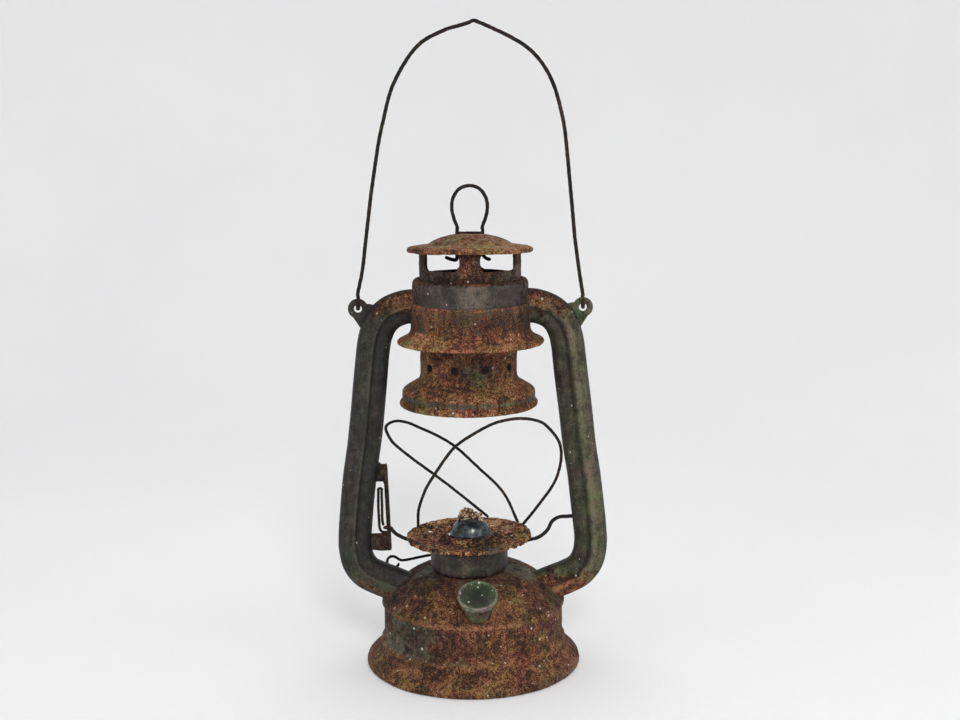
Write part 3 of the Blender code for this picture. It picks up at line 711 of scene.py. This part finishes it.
def make_tank():
    rust = aged_metal("tank_rust", BROWN_RUST, OLIVE, 1, specks=0.1)
    foot = turned("tank_wall_and_foot", rounded_line([
        (51.0, 36.6), (50.9, 27.0), (51.0, 18.0), (51.7, 16.6), (52.6, 15.4), (53.2, 12.4),
        (55.4, 8.8), (59.0, 5.8), (60.8, 4.2), (61.2, 2.4), (60.9, 0.7), (59.8, 0.05), (58.6, 0.3),
        (58.0, 1.6), (57.0, 4.4), (54.2, 7.6), (51.8, 12.2), (50.3, 16.4), (50.2, 36.6)],
        closed=True))

    def wall_paint(p):
        if p.z < 15.5:
            return 0.12 + 0.3 * bump_at(p.z, 3.0, 5.0) * facing(p, 50.0, 60.0)
        red_seam = facing(p, 12.0, 14.0)
        return 0.62 - 0.012 * abs(front_angle(p) + 50.0) ** 0.85 - 0.4 * red_seam

    def wall_wear(p):
        low = 0.55 * bump_at(p.z, 4.5, 12.0)
        return low + 0.9 * bump_at(p.z, 36.4, 3.2) + 0.5 * bump_at(p.z, 15.5, 3.0)

    weather(foot, 0.35, 0.16, lambda p: 0.25 * facing(p, 16.0, 1.6))
    tone(foot, wall_paint, wall_wear)
    finish_piece(foot, "frame", "tank_skirt", rust)

    dome = turned_sheet("tank_top", [
        (11.6, 54.7), (22.0, 54.3), (30.0, 53.4), (34.0, 52.2), (38.0, 50.0), (42.0, 46.9),
        (45.5, 43.5), (48.5, 40.4), (50.6, 38.8), (51.7, 38.2), (52.2, 37.3), (52.2, 36.2),
        (51.7, 35.4)], radius=1.6)
    axis = Vector((0.0, -math.sin(FILLER_TILT), math.cos(FILLER_TILT)))
    drilled(dome, [(7.6, 30.0, FILLER_TOP - axis * 14.0, axis, 40)])
    weather(dome, 0.35, 0.2)
    tone(dome,
         lambda p: 0.2 + 0.25 * beside(p, 80.0, 40.0) + 0.2 * bump_at(p.z, 54.5, 3.0),
         lambda p: 0.25 + 0.9 * bump_at(p.z, 37.0, 2.6) * facing(p, 5.0, 75.0))
    dome_rust = aged_metal("dome_rust", BROWN_RUST, OLIVE, 21, specks=0.12)
    finish_piece(dome, "frame", "tank_dome", dome_rust)

    pan = turned_sheet("tank_pan", [
        (49.9, 21.0), (49.9, 17.2), (47.0, 16.0), (0.0, 15.6)])
    weather(pan, 0.3, 0.12)
    tone(pan, 0.3, 0.1)
    finish_piece(pan, "frame", "tank_bottom", rust)


def make_filler():
    """Neck and cap in their own tilted frame."""
    tilted = Matrix.Translation(FILLER_TOP * MM) @ Matrix.Rotation(FILLER_TILT, 4, 'X')
    green = aged_metal("filler_green", BROWN_RUST, CAP_GREEN, 31, gloss=0.42, specks=0.3,
                       relief=0.4)
    neck_green = aged_metal("neck_green", BROWN_RUST, OLIVE, 35, gloss=0.5, specks=0.05)
    neck = turned("filler_throat", rounded_line([
        (7.3, -3.8), (7.3, -20.0), (6.3, -20.0), (6.3, -3.8)], 0.3, closed=True), turn=96)
    cap = turned("filler_lid", rounded_line([
        (0.0, -0.75), (6.0, -0.7), (9.2, -0.5), (9.7, 0.05), (10.3, 0.1), (10.9, -0.4),
        (11.0, -1.7), (10.7, -2.4), (9.9, -2.9), (9.4, -4.0), (9.3, -6.2), (8.9, -6.5),
        (8.2, -6.5), (7.9, -6.1), (7.9, -2.5), (0.0, -2.4)], 0.35), closed=False, turn=120)
    for obj in (neck, cap):
        moved(obj, tilted)
    tone(neck, 0.75, 0.3)
    lid_face = tilted.inverted()

    def lid_wear(p):
        """A rubbed edge round a dark middle."""
        local = lid_face @ (p * MM) / MM
        edge = ring_at(local, 10.4, 1.1) if local.z > -2.2 else 0.0
        return edge - 2.0 * max(0.0, 1.0 - local.xy.length / 9.2)

    tone(cap, lambda p: 0.95 - 0.5 * bump_at(p.z, 46.0, 4.0), lid_wear)
    weather(neck, 0.1, 0.06)
    weather(cap, 0.12, 0.05)
    finish_piece(neck, "frame", "filler_neck", neck_green)
    finish_piece(cap, "filler_cap", "filler_cap", green)


# ---------------------------------------------------------------- burner

def make_cup():
    cup = turned_sheet("burner_cup", [
        (14.4, 69.0), (20.4, 69.0), (21.7, 68.4), (22.1, 67.0), (22.0, 58.6), (21.8, 56.6),
        (21.2, 55.4), (20.4, 55.0)], radius=1.2)
    axis = (KEY_WHEEL - KEY_RING).normalized()
    drilled(cup, [(1.5, 8.0, KEY_RING + axis * ((-21.6 - KEY_RING.x) / axis.x), axis, 24)])
    weather(cup, 0.15, 0.05, lambda p: 0.2 * facing(p, 19.0, 2.6))
    slid(cup, BURNER_SHIFT)
    # Painted highlight: the band facing the front, a little to the left, is lighter than the rest
    # of the cup.
    tone(cup,
         lambda p: 0.95 - 0.35 * bump_at(p.z, 55.0, 3.0) - 0.5 * facing(p, 19.0, 5.0),
         lambda p: 0.35 * facing(p, -8.0, 26.0) - 0.6)
    paint = aged_metal("cup_paint", BROWN_RUST, BLUE_GREY, 61, gloss=0.5, specks=0.01, relief=0.4)
    finish_piece(cup, "frame", "air_cup", paint)


def make_wick():
    """Woven strip with a crumbling charred head."""
    body = bmesh.new()
    box_mesh(body, 52.3, (13.2, 1.7, 64.6))
    lumps = [(-5.2, 0.2, 85.0, 1.9), (-3.0, -0.8, 86.6, 2.2), (-4.6, 0.6, 87.4, 1.6),
             (-0.6, 0.0, 86.2, 2.3), (1.8, -0.6, 85.6, 2.0), (4.2, 0.4, 85.2, 1.7),
             (5.6, 0.4, 86.2, 1.2), (-1.4, 0.4, 88.6, 1.7), (0.6, -0.2, 88.4, 1.4),
             (-2.6, -0.4, 89.3, 1.2), (3.4, -0.6, 86.9, 1.3), (0.2, -1.6, 84.6, 1.3)]
    for x, y, z, radius in lumps:
        made = bmesh.ops.create_icosphere(body, subdivisions=2, radius=radius * MM)
        bmesh.ops.translate(body, vec=Vector((x - 1.2, y, z)) * MM, verts=made["verts"])
    wick = new_object("wick_strip_and_ash", body)
    remesh = wick.modifiers.new("remesh", 'REMESH')
    remesh.mode = 'VOXEL'
    remesh.voxel_size = 0.00034
    applied(wick)
    wick.data.shade_smooth()
    for vertex in wick.data.vertices:
        point = vertex.co / MM
        ash = max(0.0, min(1.0, (point.z - 83.0) / 2.0))
        crumbs = noise.noise_vector(point / 1.6) * 0.6 + noise.noise_vector(point / 0.6) * 0.22
        weave = 0.06 * math.sin(point.x * 4.2) * math.sin(point.z * 4.2) * (1.0 - ash)
        vertex.co += (crumbs * ash + vertex.normal * weave) * MM
    finish_piece(wick, "wick", "wick", wick_ash())


def make_key():
    axis = (KEY_WHEEL - KEY_RING).normalized()
    side = axis.cross(Vector((0, 1, 0))).normalized()
    loop = arc(KEY_RING, 3.5, 40, 340, 16, (axis, side))
    start = KEY_RING + axis * 6.1
    key = wire("key_wire", loop[::-1] + [start, start + axis * 12.0, start + axis * 24.0,
                                         KEY_WHEEL + axis * 3.4], 0.8)
    tone(key, 0.0, 0.0)
    return key


# ---------------------------------------------------------------- side tubes

TUBE_LINE = [(31.0, 206.2), (37.5, 205.5), (44.3, 202.8), (49.3, 198.2), (52.4, 192.0),
             (54.2, 184.5), (56.4, 165.0), (60.4, 130.0), (63.8, 107.0), (66.9, 78.5),
             (67.1, 67.5), (65.0, 59.0), (60.6, 53.0), (54.0, 49.4), (46.7, 46.4), (34.5, 41.1)]
TUBE_FRONT = [(9.4, 0.9), (9.25, 3.4), (8.4, 5.7), (6.8, 7.0), (4.4, 7.5), (1.6, 7.45),
              (-0.4, 7.2), (-1.1, 6.7), (-1.5, 5.95), (-2.4, 5.75), (-4.2, 5.95), (-6.2, 5.6),
              (-8.0, 4.3), (-9.1, 2.5), (-9.4, 0.9)]


def tube_rings():
    """Sections of the right-hand tube: across is outwards, and both faces carry the step."""
    front = [Vector((across, -deep)) for across, deep in TUBE_FRONT]
    rear = [Vector((across, deep)) for across, deep in TUBE_FRONT[::-1]]
    section = rounded_line(front + rear, 0.35, closed=True)
    path = smooth_path([(x, 0.0, z) for x, z in TUBE_LINE], 1.3)
    last = len(path) - 1
    rings = []
    for index, point in enumerate(path):
        along = path[min(index + 1, last)] - path[max(index - 1, 0)]
        outward = Vector((-along.z, 0.0, along.x)).normalized()
        rings.append([point + outward * spot.x + Vector((0, spot.y, 0)) for spot in section])
    return rings


def make_tubes():
    line = [Vector(point) for point in TUBE_LINE]

    def across(p):
        """-1 at the tube's inner edge, 0 on its ridge and 1 at its outer edge."""
        spot, best = Vector((abs(p.x), p.z)), None
        for start, end in zip(line, line[1:]):
            run = end - start
            share = max(0.0, min(1.0, (spot - start).dot(run) / run.length_squared))
            off = spot - start - share * run
            if best is None or off.length < abs(best):
                best = math.copysign(off.length, off.x * -run.y + off.y * run.x)
        return best / 9.4

    def paint(side):
        def rule(p):
            low = bump_at(p.z, 40.0, 24.0) * (0.65 if side > 0 else 0.2)
            red = 0.22 * bump_at(across(p), 0.55, 0.3) if side < 0 else 0.0
            return 0.86 - low - 0.6 * bump_at(p.z, 214.0, 22.0) - red
        return rule

    # Painted light across each tube: a painted highlight on the ridge, painted shade over the
    # inner half and along the edges that turn away; the bends and ends are lighter.
    def wear_and_painted_light(side):
        def rule(p):
            place = across(p)
            edge = -0.9 * max(0.0, abs(place) - 0.75) / 0.25
            ends = 0.9 * bump_at(p.z, 44.0, 18.0) + 0.35 * bump_at(abs(p.x), 34.0, 12.0)
            if side > 0:
                # right tube: a painted lit band beside the ridge and a painted shadow line in its
                # groove
                ridge = 0.7 * bump_at(place, 0.28, 0.26) - 1.0 * bump_at(place, -0.02, 0.09)
                return ends + edge + ridge - (0.5 if place < -0.05 else 0.0)
            # left tube: a thin painted highlight along the ridge and painted shade on the inner
            # half
            return ends + edge + 1.2 * bump_at(place, 0.02, 0.1) - (0.55 if place < 0.0 else 0.12)
        return rule

    for side, name, coat, seed, specks in ((1, "right", OLIVE, 71, 0.06),
                                           (-1, "left", GREY_GREEN, 77, 0.04)):
        material = aged_metal(name + "_tube_paint", BROWN_RUST, coat, seed, gloss=0.5,
                              specks=specks)
        rings = [[Vector((side * p.x, p.y, p.z)) for p in ring] for ring in tube_rings()]
        tube = skin(name + "_air_tube", rings, capped=False)
        shell = tube.modifiers.new("sheet", 'SOLIDIFY')
        shell.thickness = 0.7 * MM
        shell.offset = -1.0
        applied(tube)
        tube.data.shade_smooth()
        tube.data.set_sharp_from_angle(angle=math.radians(60))
        weather(tube, 0.4, 0.07)
        tone(tube, paint(side), wear_and_painted_light(side))
        finish_piece(tube, "frame", name + "_side_tube", material)

        rim = [(p.x, p.z) for p in arc((EAR_X, 0, EAR_Z), 5.6, -62, 152, 28, (X_AXIS, Z_AXIS))]
        outline = rim + [(56.0, 207.6), (50.0, 206.0), (50.0, 192.0), (61.0, 193.5)]
        outlines = [outline, circle((EAR_X, EAR_Z), 2.2)]
        if side < 0:
            outlines = [[(-x, z) for x, z in line][::-1] for line in outlines]
        ear = plate(name + "_ear_lug", outlines, 1.3, 0.3)
        tone(ear, 0.7, 0.3)
        finish_piece(ear, "frame", name + "_bail_ear", material)


def make_lift(wire_material):
    rust = aged_metal("bracket_rust", DARK_RUST, GREY_GREEN, 81, specks=0.02)
    outline = [(-59.5, 117.4), (-57.0, 117.0), (-52.0, 117.2), (-51.4, 116.2), (-48.1, 116.4),
               (-47.8, 114.0), (-46.9, 90.0), (-46.2, 66.6), (-46.8, 65.4), (-52.0, 65.2),
               (-57.0, 65.8), (-62.0, 65.4), (-62.0, 75.4), (-49.4, 75.6), (-48.9, 77.0),
               (-49.9, 104.4), (-50.6, 106.0), (-59.5, 106.0)]
    bracket = plate("lift_bracket_plate", [outline, circle((-50.9, 111.8), 1.35)], 1.1, 0.25)
    tone(bracket, 0.45, lambda p: 0.5 * bump_at(p.z, 65.0, 6.0))
    finish_piece(bracket, "frame", "lift_bracket", rust)

    dome = [(0.0, 1.4), (1.0, 1.35), (1.8, 1.15), (2.15, 0.75), (1.0, 0.75), (1.0, -0.8),
            (2.1, -0.85), (1.9, -1.5), (0.8, -1.9), (0.0, -1.9)]
    rivet = turned("lift_rivet", rounded_line(dome, 0.2), closed=False, turn=32)
    moved(rivet, Matrix.Translation(Vector((-50.9, 0.0, 111.8)) * MM)
          @ Matrix.Rotation(math.pi / 2, 4, 'X'))
    tone(rivet, 0.0, 0.4)
    finish_piece(rivet, "frame", "bracket_rivet", rust)

    centre_x, gap = -52.1, 0.95
    down = [(centre_x - gap, CRANK_PLANE, 100.6), (centre_x - gap - 0.2, CRANK_PLANE, 92.0),
            (centre_x - gap + 0.1, CRANK_PLANE, 84.0), (centre_x - gap + 0.4, CRANK_PLANE, 79.2),
            (-51.4, CRANK_PLANE, 77.2), (-50.0, CRANK_PLANE, 76.9), (-48.6, CRANK_PLANE, 77.1)]
    back = [(-50.4, CRANK_PLANE, 80.8), (centre_x + gap, CRANK_PLANE, 84.0),
            (centre_x + gap, CRANK_PLANE, 92.0), (centre_x + gap - 0.1, CRANK_PLANE, 100.6)]
    over = arc((centre_x, CRANK_PLANE, 101.6), 1.1, 10, 170, 6, (X_AXIS, Z_AXIS))
    link = wire("lift_link_wire", back + over + down, 0.78, spacing=0.7)
    tone(link, 0.0, 0.2)
    finish_piece(link, "lift_link", "lift_link", wire_material)


# ---------------------------------------------------------------- globe carrier

def ragged_rim(angle, radius, height):
    """Eats into the plate's edge, more on its lower left and right."""
    if radius < 31.0:
        return radius, height
    spot = Vector((math.cos(angle), math.sin(angle), 0.0))
    bite = noise.fractal(spot * 7.5, 0.6, 2.0, 4)
    front = 0.5 + 0.5 * max(0.0, -spot.y)
    amount = max(0.0, bite + 0.1) * 2.6 * front * min(1.0, (radius - 31.0) / 3.5)
    return radius - amount, height + 0.35 * bite


def make_carrier(wire_material):
    crusty = aged_metal("plate_rust", PLATE_RUST, OLIVE, 91, specks=0.05, contrast=1.7)
    disc = turned_sheet("perforated_plate", [
        (12.0, 74.8), (13.0, 75.5), (14.4, 75.4), (15.8, 74.4), (17.6, 73.5), (19.4, 72.7),
        (24.0, 72.8), (29.0, 73.2), (33.6, 74.5), (34.9, 74.6), (35.5, 74.1), (35.5, 73.0)],
        turn=220, shift=ragged_rim)
    holes = []
    for index in range(PLATE_VENTS):
        angle = math.tau * index / PLATE_VENTS
        wobble = noise.noise(Vector((index * 1.7, 0.3, 0.9)))
        point = ((25.0 + wobble) * math.cos(angle), (25.0 + wobble) * math.sin(angle), 73.0)
        holes.append((1.7 + 0.5 * wobble, 10.0, point, Z_AXIS, 14))
    drilled(disc, holes)
    weather(disc, 0.4, 0.55)
    for vertex in disc.data.vertices:
        vertex.co.z += PLATE_LIFT * max(0.0, vertex.co.x)
    slid(disc, BURNER_SHIFT)
    tone(disc, lambda p: 0.2 + 0.35 * facing(p, 20.0, 25.0),
         lambda p: 0.15 + 0.2 * ring_at(p, 35.0, 4.0))
    finish_piece(disc, "carrier", "globe_plate", crusty)

    cone = turned_sheet("burner_dome", [
        (0.0, 84.4), (3.0, 84.3), (6.2, 83.4), (8.8, 81.4), (10.2, 78.8), (10.9, 76.4),
        (11.3, 75.6), (12.0, 75.7)], thickness=0.5, radius=1.4, turn=120)
    body = bmesh.new()
    box_mesh(body, 87.0, (16.6, 6.0, 10.0))
    cut(cone, body)
    weather(cone, 0.15, 0.05)
    slid(cone, 0.5 * BURNER_SHIFT)
    finish_piece(cone, "carrier", "burner_cone", burner_metal())

    right = [(60.2, 0, 85.3), (55.0, 0, 84.8), (49.6, 0, 84.4), (45.4, 0, 81.8), (42.8, 0, 76.8),
             (38.0, 0, 72.6), (32.0, 0.2, 71.0)]
    rear = arc((0, 0, 70.6), 27.0, 0, 180, 16, (X_AXIS, Y_AXIS))
    left = [(-32.0, -0.2, 71.0), (-37.5, -0.8, 72.2), (-41.2, -1.6, 74.2),
            (-44.2, CRANK_PLANE, 76.4), (-46.4, CRANK_PLANE, 79.4), (-48.2, CRANK_PLANE, 79.8),
            (-50.6, CRANK_PLANE, 79.4)]
    crank = wire("carrier_crank", right + rear + left, 1.05)
    rear_loop = wire("rear_guard", [
        (26.9, 20.2, 74.6), (18.1, 30.0, 91.0), (4.0, 37.0, 104.0), (-9.5, 38.0, 116.6),
        (-20.0, 34.0, 124.3), (-29.7, 27.0, 130.8), (-37.9, 18.0, 136.4), (-44.5, 9.0, 138.8),
        (-48.6, 4.0, 136.6), (-46.6, 6.0, 130.0), (-43.0, 12.0, 123.6), (-34.6, 26.0, 112.5),
        (-22.1, 37.0, 99.9), (-6.8, 40.0, 86.7), (9.4, 32.6, 75.2)], 0.85)
    front_loop = wire("front_guard", [
        (-31.6, 13.4, 75.2), (-30.3, -4.0, 90.2), (-26.2, -22.0, 105.5), (-20.2, -34.0, 118.3),
        (-14.6, -40.0, 128.1), (-8.6, -43.0, 135.9), (-0.5, -43.0, 141.9), (10.3, -40.0, 147.1),
        (18.4, -36.4, 148.9), (26.6, -31.0, 148.6), (34.4, -26.0, 146.6), (40.7, -21.0, 142.7),
        (48.0, -15.5, 132.8), (50.0, -11.6, 123.2), (48.8, -7.0, 112.8), (45.8, -1.0, 103.4),
        (39.4, 8.0, 90.9), (28.6, 16.2, 74.4)], 0.85)
    for obj, node in ((crank, "carrier_wire"), (rear_loop, "rear_guard_wire"),
                      (front_loop, "front_guard_wire")):
        tone(obj, 0.0, 0.0)
        finish_piece(obj, "carrier", node, wire_material)


# ---------------------------------------------------------------- hood and chimney

def make_hood():
    drum_paint = aged_metal("drum_paint", BROWN_RUST, BLUE_GREY, 101, gloss=0.42, specks=0.02)
    hood_rust = aged_metal("hood_rust", ORANGE_RUST, GREY_GREEN, 107, specks=0.05)
    upper = turned_sheet("drum_upper", [
        (28.8, 221.6), (30.4, 221.6), (31.7, 220.9), (32.3, 219.2), (32.3, 216.0), (32.1, 211.0),
        (32.2, 208.9), (32.5, 207.8), (32.5, 205.0)], radius=1.0)
    weather(upper, 0.15, 0.08)
    # Painted light: the front of the band and its top shoulder are lighter as a painted highlight,
    # and the rest is darker as painted shade; the sides also keep less paint.
    tone(upper,
         lambda p: 0.9 - 0.5 * bump_at(p.z, 221.5, 2.4) - 0.5 * beside(p, 75.0, 35.0),
         lambda p: 1.2 * facing(p, 3.0, 22.0) - 0.45 + 0.4 * bump_at(p.z, 221.0, 2.0))
    finish_piece(upper, "frame", "hood_upper_band", drum_paint)

    lower = turned_sheet("drum_lower", [
        (33.0, 208.5), (33.5, 207.6), (33.3, 200.0), (33.4, 194.0), (34.2, 191.6), (36.0, 189.8),
        (39.4, 188.2), (40.8, 187.4), (41.1, 186.6), (40.8, 185.9), (40.0, 185.8)], radius=1.2)
    weather(lower, 0.35, 0.14)
    tone(lower,
         lambda p: (0.42 if p.z > 194 else 0.0) + 0.12 * noise.noise(p / 14.0),
         lambda p: (0.45 * bump_at(p.z, 187.0, 5.0) + 0.4 * bump_at(p.z, 208.0, 1.4)
                    - 0.35 * bump_at(p.z, 201.0, 9.0)))
    finish_piece(lower, "frame", "hood_lower_band", hood_rust)

    shelf = turned("spring_shelf", rounded_line([
        (32.3, 195.0), (32.3, 194.2), (29.1, 194.2), (29.1, 195.0)], 0.2, closed=True))
    tone(shelf, 0.2, 0.2)
    finish_piece(shelf, "frame", "hood_shelf", hood_rust)
    return hood_rust


def make_chimney(hood_rust, wire_material):
    neck_rust = aged_metal("neck_rust", ORANGE_RUST, OLIVE, 111, specks=0.05, contrast=1.1)
    cap = turned_sheet("globe_hood", [
        (30.1, 195.6), (27.8, 195.6), (27.1, 194.8), (27.0, 168.6), (27.6, 166.2), (29.0, 164.6),
        (35.0, 161.0), (36.8, 159.8), (37.3, 158.6), (37.3, 153.9), (38.3, 153.2), (38.9, 152.3),
        (38.8, 151.2), (38.0, 150.7)], radius=1.0)
    holes = []
    for index in range(NECK_HOLES):
        angle = math.radians(-16.0 - 90.0 + 360.0 / NECK_HOLES * index)
        outward = Vector((math.cos(angle), math.sin(angle), 0.0))
        wobble = 0.25 * noise.noise(Vector((index * 2.3, 1.1, 0.4)))
        point = outward * NECK_RADIUS + Vector((0, 0, 174.0))
        holes.append((2.15 + wobble, 8.0, point, outward, 24))
    drilled(cap, holes)

    # Painted shadow: the neck is darker in a band just under the drum's flare.
    tone(cap, lambda p: 0.25 + 0.35 * bump_at(p.z, 172.0, 12.0) * facing(p, 14.0, 40.0)
         + 0.4 * bump_at(p.z, 156.4, 2.6),
         lambda p: 0.2 * bump_at(p.z, 162.0, 6.0) + 0.35 * bump_at(p.z, 151.5, 3.0)
         - 0.35 * bump_at(p.z, 178.0, 14.0))
    # Painted shade with soot: the inside of the hood is blackened from 156 mm up, so its holes
    # look dark.
    shade_and_soot_inside(cap, 156.0)
    weather(cap, 0.35, 0.17)
    for vertex in cap.data.vertices:
        share = max(0.0, min(1.0, (0.190 - vertex.co.z) / 0.012))
        vertex.co.x += HOOD_SHIFT * MM * share
    finish_piece(cap, "chimney", "globe_cap", neck_rust)

    dark_rust = aged_metal("flue_soot", BLACK_WIRE, BLACK_WIRE, 117, specks=0.0)
    flue = turned("flue_tube", rounded_line([
        (25.8, 224.0), (25.8, 188.0), (25.0, 188.0), (25.0, 224.0)], 0.3, closed=True))
    weather(flue, 0.2, 0.1)
    tone(flue, 0.1, 0.0)
    finish_piece(flue, "chimney", "chimney_tube", dark_rust)

    crown = turned_sheet("crown_with_windows", [
        (28.4, 239.4), (28.2, 236.0), (28.2, 213.0), (28.0, 212.0)], turn=240)
    body = bmesh.new()
    for turn, sill in ((-36.0, 223.6), (36.0, 223.6), (144.0, 227.6), (216.0, 227.6)):
        window = bmesh.new()
        box_mesh(window, 0.0, (23.4, 20.0, WINDOW_TOP - sill))
        upright = [edge for edge in window.edges
                   if abs(edge.verts[0].co.y - edge.verts[1].co.y) > 1.0 * MM]
        bmesh.ops.bevel(window, geom=upright, offset=3.2 * MM, segments=8, affect='EDGES',
                        profile=0.5)
        window.transform(Matrix.Rotation(math.radians(turn), 4, 'Z')
                         @ Matrix.Translation((0, NECK_RADIUS * MM, (WINDOW_TOP + sill) / 2 * MM)))
        part = bpy.data.meshes.new("window")
        window.to_mesh(part)
        window.free()
        body.from_mesh(part)
    cut(crown, body)
    leaned(crown)
    weather(crown, 0.3, 0.14)
    tone(crown, lambda p: 0.42 - 0.3 * facing(p, -4.0, 12.0),
         lambda p: 0.1 * facing(p, -5.0, 6.0) - 0.4)
    crown_rust = aged_metal("crown_rust", BROWN_RUST, BLUE_GREY, 121, specks=0.03)
    finish_piece(crown, "chimney", "vent_crown", crown_rust)

    top_outline = rounded_line([
        (0.0, 246.1), (7.6, 246.1), (10.0, 245.7), (14.7, 244.7), (18.4, 243.4), (21.4, 241.9),
        (23.0, 240.8), (25.0, 240.3), (30.0, 239.7), (33.2, 239.2), (34.6, 238.5), (35.0, 237.5),
        (34.6, 236.5), (33.6, 236.0), (32.6, 236.4), (32.2, 237.3), (31.0, 238.4), (25.0, 239.3),
        (22.8, 239.8), (20.8, 240.9), (17.8, 242.4), (14.2, 243.6), (7.0, 244.6),
        (0.0, 244.6)], 0.8)
    top = turned("cap_disc", top_outline, closed=False)
    leaned(top)
    weather(top, 0.45, 0.18)
    tone(top, lambda p: 0.42 - 0.25 * ring_at(p, 34.0, 4.0), lambda p: 0.55
         + 0.4 * ring_at(p, 27.0, 7.0) - 0.5 * ring_at(p, 35.2, 1.6))
    top_rust = aged_metal("cap_rust", ORANGE_RUST, CAP_TAN, 127, specks=0.06)
    finish_piece(top, "chimney", "top_cap", top_rust)

    right_foot = [(11.6, 0, 231.8), (8.8, 0, 232.8), (7.2, 0, 235.0)]
    left_foot = [(-7.1, 0, 234.0), (-7.7, 0, 231.8), (-10.4, 0, 232.2), (-13.8, 0, 233.4)]
    half = [(7.0, 0, 240.0), (7.0, 0, 247.4), (6.9, 0, 250.2), (8.6, 0, 254.6), (9.8, 0, 260.4),
            (9.0, 0, 266.0), (5.6, 0, 270.8), (0.0, 0, 272.6)]
    other = [(-x, y, z) for x, y, z in half[-2::-1]]
    ring = wire("ring_wire", right_foot + half + other + left_foot, 1.0, sides=16)
    base = wire("ring_base", [(-6.6, 0.0, 246.6), (0.0, 0.0, 246.7), (6.6, 0.0, 246.6)], 0.8)
    merged = bmesh.new()
    for part in (ring, base):
        merged.from_mesh(part.data)
    merged.to_mesh(ring.data)
    merged.free()
    bpy.data.objects.remove(base)
    tone(ring, 0.0, 0.0)
    finish_piece(ring, "chimney", "lift_ring", wire_material)


def make_spring(wire_material):
    """The coil's top stays under the drum's rim."""
    turns, foot, top = 5, 197.6, 218.4
    count = turns * 18
    points = []
    for step in range(count + 1):
        angle = math.tau * turns * step / count
        points.append((29.9 * math.cos(angle), 29.9 * math.sin(angle),
                       foot + (top - foot) * step / count))
    coil = wire("spring_coil", points, 0.6, spacing=2.0, sides=10, kink=0.0)
    tone(coil, 0.0, 0.2)
    finish_piece(coil, "frame", "chimney_spring", wire_material)
    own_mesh(coil)


BAIL_ARCH = [(-62.2, 214.8), (-59.0, 230.0), (-54.7, 263.0), (-50.0, 292.2), (-46.4, 308.3),
             (-41.6, 325.0), (-33.4, 340.1), (-24.9, 349.5), (-12.8, 355.7), (-4.0, 358.2),
             (0.6, 359.6), (3.2, 360.6), (6.0, 359.6), (10.9, 357.6), (22.4, 352.3), (32.4, 345.9),
             (40.6, 336.8), (47.0, 324.0), (51.4, 307.5), (53.6, 289.0), (55.8, 266.0),
             (58.6, 238.0), (62.0, 215.0)]


def make_bail(wire_material):
    left = arc((-EAR_X, 0, BAIL_PIVOT_Z), 3.4, -215, 90, 16, (Y_AXIS, Z_AXIS))
    right = arc((EAR_X, 0, BAIL_PIVOT_Z), 3.4, 90, -215, 16, (Y_AXIS, Z_AXIS))
    bail = wire("bail_wire", left + [(x, 0.0, z) for x, z in BAIL_ARCH] + right, 1.05, sides=16)
    tone(bail, 0.0, lambda p: 0.35 * bump_at(p.z, 250.0, 60.0))
    finish_piece(bail, "bail", "bail", wire_material)


# ---------------------------------------------------------------- assembly

def restyle_hidden_nodes():
    """CAD nodes that keep their shape and get a better material."""
    brass = plain_metal("tarnished_brass", [
        (0.15, 0.05, 0.032, 0.014), (0.5, 0.22, 0.15, 0.06), (0.85, 0.40, 0.30, 0.13)],
        131, 0.85, 0.5)
    cork = plain_metal("old_cork", [
        (0.15, 0.06, 0.03, 0.015), (0.5, 0.20, 0.12, 0.065), (0.85, 0.34, 0.23, 0.14)],
        137, 0.0, 0.92)
    finishes = {"burner_collar": brass, "burner_body": brass, "wick_tube": brass,
                "wick_wheel": brass, "filler_gasket": cork}
    for name, material in finishes.items():
        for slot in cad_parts[name].material_slots:
            slot.material = material


bpy.context.scene.view_settings.view_transform = 'Standard'
add_camera()
add_stage()
add_lights()
black_wire = aged_metal("black_wire", BLACK_WIRE, BLACK_WIRE, 17, gloss=0.6, specks=0.0,
                        relief=0.5)
make_tank()
make_filler()
make_cup()
make_wick()
finish_piece(make_key(), "wick_key", "wick_key", black_wire)
make_tubes()
make_lift(black_wire)
make_carrier(black_wire)
make_chimney(make_hood(), black_wire)
make_spring(black_wire)
make_bail(black_wire)
restyle_hidden_nodes()
